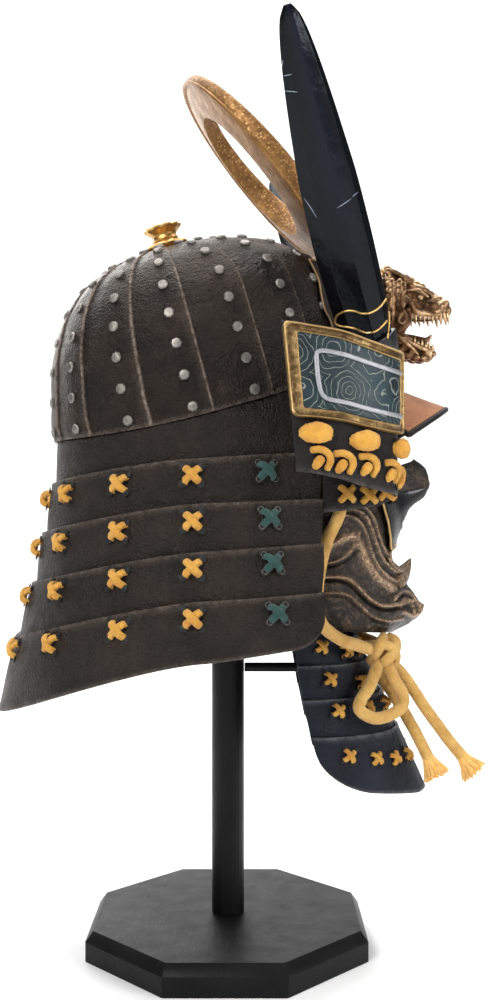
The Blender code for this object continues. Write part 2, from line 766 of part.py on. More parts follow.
def wing_plan(side):
    """Uprights of a wing from its inner end to its free edge, which slants forward below."""
    rear = WING_FOLDS[-1].along
    plan = []
    for fold in WING_FOLDS:
        lean = max(0.0, (WING_LEAN_START - fold.along) / (WING_LEAN_START - rear))
        if fold.out < WING_LEAN_START:
            lean = 0.0
        plan.append(Upright(WING_INNER_X + WING_LENGTH * fold.along,
                            side * (WING_INNER_Y + WING_SPREAD * fold.out),
                            WING_Z + WING_HEIGHT * fold.foot, WING_Z + WING_HEIGHT * fold.top,
                            WING_REAR_SLANT * lean))
    return plan


def on_upright(upright, z):
    """The point of an upright at a height."""
    below = (upright.top - z) / (upright.top - upright.foot)
    return Vector((upright.x + upright.slant * below, upright.y, z))


def outward(plan, j, side):
    """Unit vector out of the wing's outer face at a plan point."""
    before = plan[max(0, j - 1)]
    after = plan[min(len(plan) - 1, j + 1)]
    along = Vector((after.x - before.x, after.y - before.y, 0.0)).normalized()
    return Vector((-along.y, along.x, 0.0)) * -side


def make_wings(home):
    for side, label in ((-1, "right"), (1, "left")):
        plan = wing_plan(side)
        rows = []
        for share in WING_ROWS:
            rows.append([on_upright(up, up.foot + (up.top - up.foot) * share) for up in plan])
        sheet(f"wing_{label}", rows, WING_LEATHER, DARK_LEATHER, home, offset=0.0)
        make_wing_face(home, plan, side, label)


def face_uprights(plan, side):
    """Uprights of the outer leaf's face, from the front fold to the free edge."""
    lift = WING_LEATHER / 2 + 2 * GAP
    line = []
    for j, up in enumerate(plan):
        if j >= WING_FACE_START:
            out = outward(plan, j, side) * lift
            line.append(up._replace(x=up.x + out.x, y=up.y + out.y))
    line[-1] = line[-1]._replace(x=line[-1].x - WING_FRAME_OVERHANG)
    return line


def make_wing_face(home, plan, side, label):
    """The gold frame and its panel on the wing's outer leaf."""
    line = face_uprights(plan, side)
    lengths = [0.0]
    for a, b in zip(line, line[1:]):
        lengths.append(lengths[-1] + hypot(b.x - a.x, b.y - a.y))
    total = lengths[-1]

    def upright_at(distance):
        for i in range(len(line) - 1):
            if distance <= lengths[i + 1] + 1e-9:
                part = (distance - lengths[i]) / (lengths[i + 1] - lengths[i])
                return Upright(*(a + (b - a) * part for a, b in zip(line[i], line[i + 1])))
        return line[-1]

    def grid(marks, bands):
        """Rows at distances above the frame's foot, or below the top where negative."""
        rows = [[] for _ in bands]
        for mark in marks:
            up = upright_at(mark)
            share = WING_FRAME_FOOT_FRONT
            share += (WING_FRAME_FOOT_REAR - WING_FRAME_FOOT_FRONT) * mark / total
            low = up.foot + (up.top - up.foot) * share
            for row, band in zip(rows, bands):
                row.append(on_upright(up, low + band if band >= 0 else up.top + band))
        return rows

    top_edge = -1e-7
    border = WING_FRAME_BORDER
    start, end = border, total - WING_FRAME_REAR_BORDER
    marks = sorted(lengths + [start, end])
    hole = [(1, j) for j in range(len(marks) - 1) if start <= marks[j] < end - 1e-6]
    offset = 1.0 if side > 0 else -1.0
    sheet(f"wing_frame_{label}", grid(marks, (0.0, border, -border, top_edge)),
          WING_FRAME_DEPTH, ANTIQUE_GOLD, home, offset=offset, skip=hole)
    inset = WING_PANEL_CLEARANCE
    marks = [start + inset] + [mark for mark in lengths if start + inset < mark < end - inset]
    marks.append(end - inset)
    sheet(f"wing_panel_{label}", grid(marks, (border + inset, -border - inset)),
          WING_PANEL_DEPTH, TEAL_LACQUER, home, offset=offset)


def peak_point(turn, share):
    """A point of the peak's upper face, from the bowl at share 0 to its rim at share 1."""
    root = rim_point(turn, PLATE_STEP + 2 * GAP)
    spread = turn / PEAK_TURN
    reach = PEAK_REACH * (1 - PEAK_SIDE_SHORTENING * spread ** 2) ** 2
    fall = PEAK_FALL + PEAK_SIDE_FALL * spread ** 2
    root.y *= 1 + PEAK_FLARE * share
    sag = PEAK_SAG * share * (1 - share)
    return root + Vector((reach, 0.0, -fall)) * share - Vector((0.0, 0.0, sag))


def make_peak(home):
    turns = [PEAK_TURN * (i / 8 - 1) for i in range(17)]
    rows = [[peak_point(turn, share) for turn in turns] for share in PEAK_ROWS]
    sheet("peak", rows, PEAK_THICKNESS, TAN_LEATHER, home, offset=1.0)


def crest_plate_x(y):
    return CREST_PLATE_X - CREST_PLATE_BOW_RADIUS + sqrt(CREST_PLATE_BOW_RADIUS ** 2 - y ** 2)


def crest_plate_half_width():
    """The plate ends just short of the sockets at either side."""
    return min(point.y for ring in socket_rings(1) for point in ring) - 3 * GAP


def peak_top_at(x, y):
    """Height of the peak's upper face under a point."""
    best, height = 1.0, 0.0
    for i in range(61):
        turn = PEAK_TURN * (i / 30 - 1)
        for j in range(41):
            point = peak_point(turn, j / 40)
            away = hypot(point.x - x, point.y - y)
            if away < best:
                best, height = away, point.z
    return height


def make_crest_plate(home):
    """A bowed plate standing on the peak, with a raised middle and dipped shoulders."""
    half = crest_plate_half_width()
    columns = [half * (i / 8 - 1) for i in range(17)]
    rows = [[] for _ in range(4)]
    for y in columns:
        spread = abs(y) / half
        x = crest_plate_x(y)
        reach = CREST_PLATE_THICKNESS
        foot = max(peak_top_at(x + dx, y) for dx in (-reach, 0.0, reach)) + CREST_PLATE_SEAT
        top = CREST_PLATE_TOP - CREST_PLATE_SHOULDER_DROP * spread ** CREST_PLATE_SHOULDER_CURVE
        top -= CREST_PLATE_DIP * sin(pi * min(1.0, 2 * spread))
        for i, row in enumerate(rows):
            row.append(Vector((x, y, foot + (top - foot) * i / 3)))
    sheet("crest_plate", rows, CREST_PLATE_THICKNESS, ANTIQUE_GOLD, home, offset=0.0)


def horn_frame():
    """Axis and section directions of the left horn: along, across and outward."""
    along = (HORN_TIP - HORN_FOOT).normalized()
    across = Vector((1.0, 0.0, 0.0))
    across = (across - along * across.dot(along)).normalized()
    return along, across, across.cross(along)


def horn_ring(section, side, grow=0.0):
    along, across, out = horn_frame()
    centre = HORN_FOOT.lerp(HORN_TIP, section.along) + across * HORN_BOW * section.bow
    ring = []
    for u, w in HORN_CORNERS:
        half = HORN_WIDTH / 2 * section.width + grow
        deep = HORN_DEPTH / 2 * section.depth + grow
        point = centre + across * half * u - out * deep * w
        ring.append(Vector((point.x, point.y * side, point.z)))
    return ring


def socket_rings(side):
    """Sections of the socket block, from the horn's foot down its axis."""
    along = horn_frame()[0]
    down = Vector((along.x, along.y * side, along.z)) * -1
    rings = []
    for block in SOCKET_SECTIONS:
        ring = horn_ring(HORN_SECTIONS[0], side, SOCKET_WALL * block.wall)
        rings.append([point + down * (GAP + SOCKET_HEIGHT * block.along) for point in ring])
    return rings


def make_horns(home):
    for side, label in ((-1, "right"), (1, "left")):
        rings = [horn_ring(section, side) for section in HORN_SECTIONS]
        lofted(f"horn_{label}", rings, HORN_LACQUER, home, smooth_angle=25)
        lofted(f"horn_socket_{label}", socket_rings(side), ANTIQUE_GOLD, home)


def ring_world(x, y, z):
    """From the ring's frame to the model's; z is down the ring's face, x is forward of it."""
    return Vector((RING_BACK_X + x * cos(RING_LEAN) + z * sin(RING_LEAN), y,
                   RING_BACK_Z + x * sin(RING_LEAN) - z * cos(RING_LEAN)))


def ring_thickness(z):
    """The ring thickens from its top to its foot."""
    share = (z + RING_RADIUS) / (2 * RING_RADIUS)
    return RING_TOP_THICKNESS + (RING_FOOT_THICKNESS - RING_TOP_THICKNESS) * share


def make_crest_ring(home):
    """A wedge section carried round: a beaded outer edge and a back face that rises inward."""
    outer, inner = RING_RADIUS, RING_RADIUS - RING_WIDTH
    section = ((outer, 0.0), (outer, 1.0), (inner, 1.0), (inner, -RING_DISH),
               (outer - RING_BEAD_INNER, -RING_BEAD_GROOVE), (outer - RING_BEAD_OUTER, -RING_BEAD_RISE))
    rings = []
    for i in range(48):
        turn = 2 * pi * i / 48
        ring = []
        for radius, depth in section:
            y, z = radius * sin(turn), radius * cos(turn)
            ring.append(ring_world(ring_thickness(z) if depth == 1.0 else depth, y, z))
        rings.append(ring)
    bm = bmesh.new()
    add_grid(bm, rings + [rings[0]], wrap=True)
    bmesh.ops.remove_doubles(bm, verts=bm.verts, dist=0.00001)
    add_object("crest_ring", mesh_from("crest_ring", bm), BRIGHT_GOLD, home)


def make_crest_tang(home):
    """A flat strip from the ring's lower rim to the back of the crest plate."""
    middle = RING_FOOT_THICKNESS * TANG_SHARE
    start = RING_RADIUS + 2 * GAP
    back = crest_plate_x(TANG_WIDTH / 2) - CREST_PLATE_THICKNESS / 2 - 2 * GAP
    end = (back - RING_BACK_X - middle * cos(RING_LEAN)) / sin(RING_LEAN)
    rings = []
    for z, width in ((start, TANG_WIDTH), ((start + end) / 2, TANG_WIDTH * TANG_MIDDLE_WIDTH),
                     (end - TANG_THICKNESS, TANG_WIDTH * TANG_FOOT_WIDTH)):
        half = width / 2
        rings.append([ring_world(middle + depth, y, z)
                      for y, depth in ((-half, 0.0), (half, 0.0), (half, TANG_THICKNESS),
                                       (-half, TANG_THICKNESS))])
    lofted("crest_tang", rings, BRIGHT_GOLD, home)


def dragon_ring(jaw, back):
    """Twelve points round one section of the head."""
    x = back + DRAGON_LENGTH * jaw.along
    z = DRAGON_Z + DRAGON_HALF_HEIGHT * jaw.height
    ring = []
    for i in range(12):
        turn = 2 * pi * i / 12
        wide = DRAGON_HALF_WIDTH * jaw.half_width * cos(turn)
        high = DRAGON_HALF_HEIGHT * jaw.half_height * sin(turn)
        ring.append(Vector((x, wide, z + high)))
    return ring


def cone_piece(name, foot, tip, radius, sides, home):
    """A pointed lock or spike from a foot to a tip."""
    along = tip - foot
    bm = bmesh.new()
    place = Matrix.Translation((foot + tip) / 2) @ along.to_track_quat("Z", "Y").to_matrix().to_4x4()
    bmesh.ops.create_cone(bm, cap_ends=True, segments=sides, radius1=radius,
                          radius2=radius * SPIKE_TIP_SHARE, depth=along.length, matrix=place)
    return add_object(name, mesh_from(name, bm), AGED_BRONZE, home)


def make_dragon(home):
    back = CREST_PLATE_X + CREST_PLATE_THICKNESS / 2 + 3 * GAP
    head = lofted("dragon_head", [dragon_ring(jaw, back) for jaw in DRAGON_SKULL],
                  AGED_BRONZE, home)
    jaw = lofted("jaw", [dragon_ring(jaw, back) for jaw in DRAGON_JAW], AGED_BRONZE, home)
    parts = [jaw]
    for k, (degrees, share) in enumerate(MANE_LOCKS):
        turn = radians(degrees)
        rim = Vector((0.0, cos(turn) * DRAGON_HALF_WIDTH, sin(turn) * DRAGON_HALF_HEIGHT))
        centre = Vector((back + MANE_FORWARD, 0.0, DRAGON_Z))
        foot = centre + rim * MANE_FOOT_SHARE + Vector((MANE_LEAN, 0.0, 0.0))
        reach = rim.normalized() * DRAGON_MANE_LENGTH * share
        lean = Vector((MANE_LEAN * (1 + k % 2), 0.0, 0.0))
        tip = centre + rim * MANE_TIP_SHARE + reach + lean
        parts.append(cone_piece(f"lock_{k}", foot, tip, MANE_RADIUS, 6, home))
    for side in (-1, 1):
        for k, spike in enumerate(DRAGON_SPIKES):
            foot = Vector((back + DRAGON_LENGTH * spike.along, side * spike.side,
                           DRAGON_Z + spike.up))
            tip = foot + Vector((spike.ahead, side * spike.out, spike.rise))
            parts.append(cone_piece(f"spike_{k}_{side + 1}", foot, tip, spike.radius, 6, home))
    fuse(head, parts)


def mask_point(column, face):
    """A point of the mask's outer face; column runs from -1 at the right edge to 1 at the left."""
    turn = column * pi / 2
    half = MASK_HALF_WIDTH * face.width
    reach = (MASK_FRONT_X - MASK_BACK_X) * face.front
    y = half * sin(turn)
    x = MASK_BACK_X + reach * abs(cos(turn)) ** MASK_ROUNDNESS
    x += MASK_NOSE * face.nose * exp(-(y / MASK_NOSE_HALF_WIDTH) ** 2)
    top = MASK_TOP_Z - MASK_EYE_DIP * min(1.0, abs(column) / MASK_EYE_SHARE)
    foot = MASK_CHIN_Z + MASK_JAW_RISE * abs(column)
    return Vector((x, y, foot + (top - foot) * face.height))


def mask_inside_x(y, z):
    """How far forward the mask's inner face lies at a point near its middle."""
    share = (z - MASK_CHIN_Z) / (MASK_TOP_Z - MASK_CHIN_Z)
    face = Face(share, *(share_at(MASK_FACES, share, "height", column)
                         for column in ("front", "nose", "width")))
    column = asin(y / (MASK_HALF_WIDTH * face.width)) / (pi / 2)
    return mask_point(column, face).x - MASK_WALL - CHIN_BAR_CLEARANCE


def make_mask(home):
    columns = [-share for share in MASK_COLUMNS[:0:-1]] + list(MASK_COLUMNS)
    rows = [[mask_point(column, face) for column in columns] for face in MASK_FACES]
    middle = len(MASK_COLUMNS) - 1
    mouth = [(i, j) for i in range(*MASK_MOUTH_ROWS)
             for j in range(middle - MASK_MOUTH_COLUMNS, middle + MASK_MOUTH_COLUMNS)]
    sheet("mask", rows, MASK_WALL, MASK_BRONZE, home, offset=-1.0, skip=mouth)


def throat_point(spread, share, inset=0.0):
    """A point of the throat guard's outer face: spread runs from -1 to 1 across it."""
    turn = spread * (THROAT_TOP_TURN + (THROAT_BOTTOM_TURN - THROAT_TOP_TURN) * share)
    length = THROAT_TOP_LENGTH + (THROAT_BOTTOM_LENGTH - THROAT_TOP_LENGTH) * share
    half = THROAT_TOP_HALF_WIDTH + (THROAT_BOTTOM_HALF_WIDTH - THROAT_TOP_HALF_WIDTH) * share
    x = THROAT_X + (length - inset) * cos(turn)
    y = (half - inset) * sin(turn)
    return Vector((x, y, THROAT_TOP_Z - THROAT_DEPTH * share))


Lame = namedtuple("Lame", "top bottom")
THROAT_LAMES = (Lame(0.0, 0.15), Lame(0.15, 0.36), Lame(0.36, 0.59), Lame(0.59, 1.0))


def make_throat_guard(home):
    """Four lames, each one lying outside the one above it."""
    for k, lame in enumerate(THROAT_LAMES):
        last = k == len(THROAT_LAMES) - 1
        overlap = 0.0 if last else THROAT_OVERLAP / THROAT_DEPTH
        rows = [[], [], []]
        spreads = [i / 12 - 1 for i in range(25)]
        if last:
            spreads += [side * spread for spread in THROAT_CORNER_SPREADS for side in (-1, 1)]
        for spread in sorted(spreads):
            head = throat_point(spread, lame.top)
            foot = throat_point(spread, lame.bottom, 0.0 if last else LEATHER + 2 * GAP)
            slope = (foot - head) / (lame.bottom - lame.top)
            tail = foot + slope * overlap
            if last:
                away = max(0.0, abs(spread) - THROAT_HEM_START) / (1 - THROAT_HEM_START)
                turned = max(0.0, abs(spread) - THROAT_CORNER_START) / (1 - THROAT_CORNER_START)
                rise = THROAT_HEM_RISE * away
                rise += THROAT_CORNER_RISE * (1 - sqrt(1 - turned ** 2))
                tail = tail.lerp(head, rise)
            rows[0].append(head)
            rows[1].append(head.lerp(tail, 0.5))
            rows[2].append(tail)
        sheet(f"throat_lame_{k + 1}", rows, LEATHER, THROAT_LEATHER, home, offset=1.0)


def at_knot(point):
    """The spot just off the knot on the side that faces a route point."""
    away = (Vector(point) - KNOT_CENTRE).normalized()
    return KNOT_CENTRE + away * (KNOT_RADIUS + GAP)


def cord_tube(name, route, count, home):
    """A round cord on a smooth curve through its route points."""
    curve = bpy.data.curves.new(name, "CURVE")
    curve.dimensions = "3D"
    curve.bevel_depth = CORD_DIAMETER / 2
    curve.bevel_resolution = 2
    curve.use_fill_caps = True
    spline = curve.splines.new("POLY")
    points = smooth_route(route, count)
    spline.points.add(len(points) - 1)
    for spot, point in zip(spline.points, points):
        spot.co = (*point, 1.0)
    return add_object(name, curve, YELLOW_COTTON, home)


def make_fray(name, end, before, home):
    """The loosened end of a tail, flaring and flattening away from the cord."""
    along = (Vector(end) - Vector(before)).normalized()
    wide = along.cross(Vector((0.0, 1.0, 0.0))).normalized()
    flat = along.cross(wide).normalized()
    start = Vector(end) + along * 2 * GAP
    rings = []
    for tuft in FRAY_SECTIONS:
        half = CORD_DIAMETER / 2 + (FRAY_SPREAD - CORD_DIAMETER / 2) * tuft.spread
        deep = CORD_DIAMETER / 2 * tuft.depth
        centre = start + along * FRAY_LENGTH * tuft.along
        rings.append([centre + wide * half * cos(pi * i / 5) + flat * deep * sin(pi * i / 5)
                      for i in range(10)])
    lofted(name, rings, YELLOW_COTTON, home)


def make_chin_cord(home):
    right, left, bow = CORD_RIGHT_ROUTE, CORD_LEFT_ROUTE, CORD_BOW_ROUTE
    cord_tube("chin_cord_right", (*right, at_knot(right[-1])), 12, home)
    cord_tube("chin_cord_left", (at_knot(left[0]), *left), 18, home)
    cord_tube("chin_cord_bow", (at_knot(bow[0]), *bow, at_knot(bow[-1])), 14, home)
    for k, route in enumerate((CORD_TAIL_1_ROUTE, CORD_TAIL_2_ROUTE)):
        cord_tube(f"chin_cord_tail_{k + 1}", (at_knot(route[0]), *route), 8, home)
        make_fray(f"chin_cord_fray_{k + 1}", route[-1], route[-2], home)
    bm = bmesh.new()
    bmesh.ops.create_uvsphere(bm, u_segments=12, v_segments=8, radius=KNOT_RADIUS,
                              matrix=Matrix.Translation(KNOT_CENTRE))
    add_object("chin_cord_knot", mesh_from("chin_cord_knot", bm), YELLOW_COTTON, home)


def main():
    clear_scene()
    home = collection_named("kabuto_on_stand")
    post_radius = make_stand(home)
    make_arm(home, post_radius)
    make_bowl(home)
    make_finial(home)
    make_neck_band(home)
    make_neck_lames(home)
    make_wings(home)
    make_peak(home)
    make_crest_plate(home)
    make_horns(home)
    make_crest_ring(home)
    make_crest_tang(home)
    make_dragon(home)
    make_mask(home)
    make_throat_guard(home)
    make_chin_cord(home)


main()
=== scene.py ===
"""Looks of the kabuto helmet on its stand. X is forward, Y to the wearer's left, Z up, in metres."""
from collections import namedtuple
from math import asin, atan2, cos, exp, hypot, pi, radians, sin, sqrt

import bmesh
import bpy
import numpy as np
from mathutils import Matrix, Vector, noise
from mathutils.bvhtree import BVHTree


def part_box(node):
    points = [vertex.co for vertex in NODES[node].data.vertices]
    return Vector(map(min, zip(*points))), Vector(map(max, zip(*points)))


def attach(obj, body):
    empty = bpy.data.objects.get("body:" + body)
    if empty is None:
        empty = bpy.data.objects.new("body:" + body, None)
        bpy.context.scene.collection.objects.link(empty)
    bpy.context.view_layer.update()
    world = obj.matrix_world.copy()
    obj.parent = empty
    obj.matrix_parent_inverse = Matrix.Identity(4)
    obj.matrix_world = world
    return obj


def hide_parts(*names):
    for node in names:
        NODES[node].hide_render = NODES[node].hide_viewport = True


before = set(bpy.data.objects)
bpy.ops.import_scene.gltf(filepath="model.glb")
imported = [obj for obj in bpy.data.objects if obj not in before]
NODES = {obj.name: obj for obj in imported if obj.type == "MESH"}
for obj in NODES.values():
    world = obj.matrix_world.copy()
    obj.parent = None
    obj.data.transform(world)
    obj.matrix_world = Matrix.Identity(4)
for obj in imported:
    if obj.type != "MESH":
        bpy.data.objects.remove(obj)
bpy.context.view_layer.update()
HOME = bpy.context.scene.collection
SIDES = ((-1, "right"), (1, "left"))

# Camera, at the photograph's viewing point
CAM = Vector((0.01794, -0.9639, 0.37443))
FOCAL_PX, WIDE_PX, TALL_PX = 1130.0, 498.0, 1000.0
camera_data = bpy.data.cameras.new("camera")
camera_data.sensor_width = 36.0
camera_data.lens = FOCAL_PX * camera_data.sensor_width / TALL_PX
camera = bpy.data.objects.new("camera", camera_data)
camera.location = CAM
camera.rotation_euler = (pi / 2, 0.0, 0.0)
HOME.objects.link(camera)
bpy.context.scene.camera = camera
bpy.context.scene.view_settings.view_transform = "Standard"


def seen_at(point):
    """Where the camera sees a point, in pixels of the photograph's frame."""
    scale = FOCAL_PX / (point[1] - CAM.y)
    return WIDE_PX / 2 + (point[0] - CAM.x) * scale, TALL_PX / 2 - (point[2] - CAM.z) * scale


def at_pixel(u, v, y):
    """The point at a depth that the camera sees at a pixel."""
    scale = (y - CAM.y) / FOCAL_PX
    return Vector((CAM.x + (u - WIDE_PX / 2) * scale, y, CAM.z - (v - TALL_PX / 2) * scale))


# ---------------------------------------------------------------- materials
class Graph:
    """A short way to write a material's nodes."""

    def __init__(self, name):
        self.material = bpy.data.materials.new(name)
        self.material.use_nodes = True
        self.tree = self.material.node_tree
        self.shader = self.tree.nodes["Principled BSDF"]
        self.place = self.add("ShaderNodeTexCoord").outputs["Object"]

    def add(self, kind, links=(), **props):
        node = self.tree.nodes.new(kind)
        for key, value in props.items():
            if hasattr(node, key):
                setattr(node, key, value)
            else:
                node.inputs[key.replace("_", " ")].default_value = value
        for slot, source in dict(links).items():
            self.tree.links.new(source, node.inputs[slot])
        return node

    def link(self, source, slot):
        self.tree.links.new(source, self.shader.inputs[slot])

    def noise(self, scale, detail=4.0, rough=0.6, place=None, distort=0.0):
        node = self.add("ShaderNodeTexNoise", {"Vector": place or self.place})
        node.inputs["Scale"].default_value = scale
        node.inputs["Detail"].default_value = detail
        node.inputs["Roughness"].default_value = rough
        node.inputs["Distortion"].default_value = distort
        return node.outputs["Fac"]

    def cells(self, scale, feature="F1", place=None, random=1.0):
        node = self.add("ShaderNodeTexVoronoi", {"Vector": place or self.place}, feature=feature)
        node.inputs["Scale"].default_value = scale
        node.inputs["Randomness"].default_value = random
        return node.outputs["Distance"]

    def ramp(self, source, stops):
        node = self.add("ShaderNodeValToRGB", {"Fac": source})
        ramp = node.color_ramp
        while len(ramp.elements) < len(stops):
            ramp.elements.new(0.5)
        for element, (spot, colour) in zip(ramp.elements, stops):
            element.position = spot
            element.color = (*colour, 1.0) if hasattr(colour, "__len__") else (colour,) * 3 + (1.0,)
        return node.outputs["Color"]

    def mix(self, share, first, second, blend="MIX"):
        node = self.add("ShaderNodeMix", data_type="RGBA", blend_type=blend)
        for slot, value in ((0, share), (6, first), (7, second)):
            if hasattr(value, "default_value"):
                self.tree.links.new(value, node.inputs[slot])
            elif hasattr(value, "__len__"):
                node.inputs[slot].default_value = (*value, 1.0)
            else:
                node.inputs[slot].default_value = value
        return node.outputs[2]

    def math(self, operation, first, second=0.0):
        node = self.add("ShaderNodeMath", operation=operation)
        for slot, value in ((0, first), (1, second)):
            if hasattr(value, "default_value"):
                self.tree.links.new(value, node.inputs[slot])
            else:
                node.inputs[slot].default_value = value
        return node.outputs[0]

    def attribute(self, name):
        return self.add("ShaderNodeAttribute", attribute_name=name).outputs["Fac"]

    def uv(self):
        return self.add("ShaderNodeTexCoord").outputs["UV"]

    def pointiness(self):
        return self.add("ShaderNodeNewGeometry").outputs["Pointiness"]

    def bump(self, layers):
        """Bump from pairs of height and depth in metres."""
        last = None
        for height, depth in layers:
            node = self.add("ShaderNodeBump", {"Height": height})
            node.inputs["Distance"].default_value = depth
            node.inputs["Strength"].default_value = 1.0
            if last:
                self.tree.links.new(last, node.inputs["Normal"])
            last = node.outputs["Normal"]
        self.link(last, "Normal")

    def set(self, **values):
        for key, value in values.items():
            self.shader.inputs[key.replace("_", " ")].default_value = value
        return self.material


def leather(name, dark, light, worn, wear_amount, rough=(0.45, 0.68), grain=0.00035, metal=0.0,
            tint=(1.0, 0.90, 0.82)):
    """Aged hide or brown iron: mottled, finely grained and rubbed lighter where worn."""
    g = Graph(name)
    mottle = g.noise(28.0, 6.0, 0.62)
    body = g.ramp(mottle, ((0.32, dark), (0.70, light)))
    rubbed = g.math("MULTIPLY", g.attribute("wear_and_sheen"), g.ramp(g.noise(190.0, 5.0, 0.7), ((0.30, 0.0), (0.62, 1.0))))
    scuffs = g.ramp(g.noise(75.0, 8.0, 0.75, distort=1.5), ((0.60, 0.0), (0.78, 1.0)))
    scuffs = g.math("MULTIPLY", scuffs, 0.28)
    body = g.mix(scuffs, body, worn)
    body = g.mix(g.math("MULTIPLY", rubbed, wear_amount), body, worn)
    g.link(body, "Base Color")
    g.link(g.ramp(g.noise(60.0, 5.0, 0.6), ((0.3, rough[0]), (0.7, rough[1]))), "Roughness")
    pores = g.cells(620.0)
    g.bump(((g.noise(34.0, 4.0, 0.55), 0.0020), (g.noise(105.0, 5.0, 0.62, distort=0.6), grain * 3.4),
            (g.noise(260.0, 6.0, 0.65), grain * 2.2), (pores, grain)))
    return g.set(Metallic=metal, Specular_IOR_Level=0.21, Specular_Tint=(*tint, 1.0))


def metal(name, dark, mid, light, rough=(0.28, 0.5), dirt=60.0, bump=0.0004, crest=(0.47, 0.56), low=(0.40, 0.485)):
    """Aged plated metal, bright on the crests, with painted shade darkening the hollows."""
    g = Graph(name)
    blotch = g.noise(dirt, 6.0, 0.65)
    body = g.ramp(blotch, ((0.28, dark), (0.50, mid), (0.74, light)))
    rim = g.ramp(g.pointiness(), ((crest[0], 0.0), (crest[1], 1.0)))
    body = g.mix(g.math("MULTIPLY", rim, 0.75), body, light)
    # Painted shade: the hollows, found from the surface's curvature in the low range, are pulled most of the way to the
    # dark colour.
    hollow_shade = g.ramp(g.pointiness(), ((low[0], 1.0), (low[1], 0.0)))
    body = g.mix(g.math("MULTIPLY", hollow_shade, 0.9), body, dark)
    g.link(body, "Base Color")
    g.link(g.ramp(blotch, ((0.3, rough[1]), (0.7, rough[0]))), "Roughness")
    g.bump(((g.noise(150.0, 5.0, 0.6), bump * 1.6), (g.noise(600.0, 4.0, 0.6), bump * 0.5)))
    return g.set(Metallic=0.92)


def cotton(name, dark, light, twist=1.0):
    """Soft braided cotton: slanted yarns along the cord's UV map, with a fuzzy sheen."""
    g = Graph(name)
    uv = g.uv()
    parts = g.add("ShaderNodeSeparateXYZ", {"Vector": uv})
    along, round_ = parts.outputs["X"], parts.outputs["Y"]
    left = g.math("SINE", g.math("ADD", g.math("MULTIPLY", along, 7.0 * twist), g.math("MULTIPLY", round_, 8 * 2 * pi)))
    right = g.math("SINE", g.math("SUBTRACT", g.math("MULTIPLY", along, 7.0 * twist), g.math("MULTIPLY", round_, 8 * 2 * pi)))
    yarn = g.math("ADD", g.math("MULTIPLY", left, right), 1.0)
    fluff = g.noise(420.0, 6.0, 0.8)
    body = g.ramp(g.noise(70.0, 5.0, 0.65), ((0.30, dark), (0.72, light)))
    body = g.mix(g.math("MULTIPLY", g.ramp(fluff, ((0.35, 1.0), (0.6, 0.0))), 0.35), body, dark)
    g.link(body, "Base Color")
    g.bump(((yarn, 0.00020), (g.noise(330.0, 5.0, 0.75), 0.0016), (g.noise(1300.0, 3.0, 0.7), 0.0005)))
    return g.set(Roughness=0.92, Sheen_Weight=0.22, Sheen_Roughness=0.5, Specular_IOR_Level=0.2)


def fibre(name, dark, light):
    """Loose strands of the cord."""
    g = Graph(name)
    g.link(g.ramp(g.noise(300.0, 4.0, 0.7), ((0.3, dark), (0.7, light))), "Base Color")
    g.bump(((g.noise(900.0, 3.0, 0.7), 0.0002),))
    return g.set(Roughness=0.9, Sheen_Weight=0.25, Sheen_Roughness=0.5, Subsurface_Weight=0.15,
                 Subsurface_Radius=(0.004, 0.002, 0.001))


def painted(name, colour, rough, bump=0.00012, coat=0.0, streak=1.0, gloss=0.24):
    g = Graph(name)
    lighter = tuple(min(1.0, c * 1.9 + 0.004) for c in colour)
    body = g.ramp(g.noise(14.0, 6.0, 0.6), ((0.3, colour), (0.8, lighter)))
    g.link(body, "Base Color")
    g.link(g.ramp(g.noise(45.0, 6.0, 0.6), ((0.3, rough), (0.75, rough + 0.16))), "Roughness")
    stretch = g.add("ShaderNodeMapping", {"Vector": g.place})
    stretch.inputs["Scale"].default_value = (1.0, streak, 1.0)
    g.bump(((g.noise(260.0, 4.0, 0.6, place=stretch.outputs["Vector"]), bump * 2), (g.noise(900.0, 3.0), bump)))
    return g.set(Coat_Weight=coat, Coat_Roughness=0.12, Specular_IOR_Level=gloss)


def horn_material():
    g = Graph("horn_lacquer")
    body = g.ramp(g.noise(18.0, 5.0, 0.6), ((0.3, (0.0018, 0.0018, 0.0022)), (0.75, (0.0042, 0.0043, 0.0056))))
    # The blue mixed in along the ridge is a painted highlight, not the lacquer's own colour; a per-vertex attribute
    # sets where it lies.
    blue_highlight = g.math("MULTIPLY", g.attribute("wear_and_sheen"), g.ramp(g.noise(9.0, 3.0, 0.5), ((0.32, 0.35), (0.66, 1.0))))
    g.link(g.mix(blue_highlight, body, (0.0050, 0.0068, 0.0140)), "Base Color")
    g.link(g.ramp(g.noise(30.0, 5.0, 0.6), ((0.3, 0.15), (0.75, 0.26))), "Roughness")
    g.bump(((g.noise(46.0, 4.0, 0.5), 0.0012), (g.noise(380.0, 4.0, 0.6), 0.00012)))
    return g.set(Specular_Tint=(0.86, 0.92, 1.0, 1.0), Specular_IOR_Level=0.15)


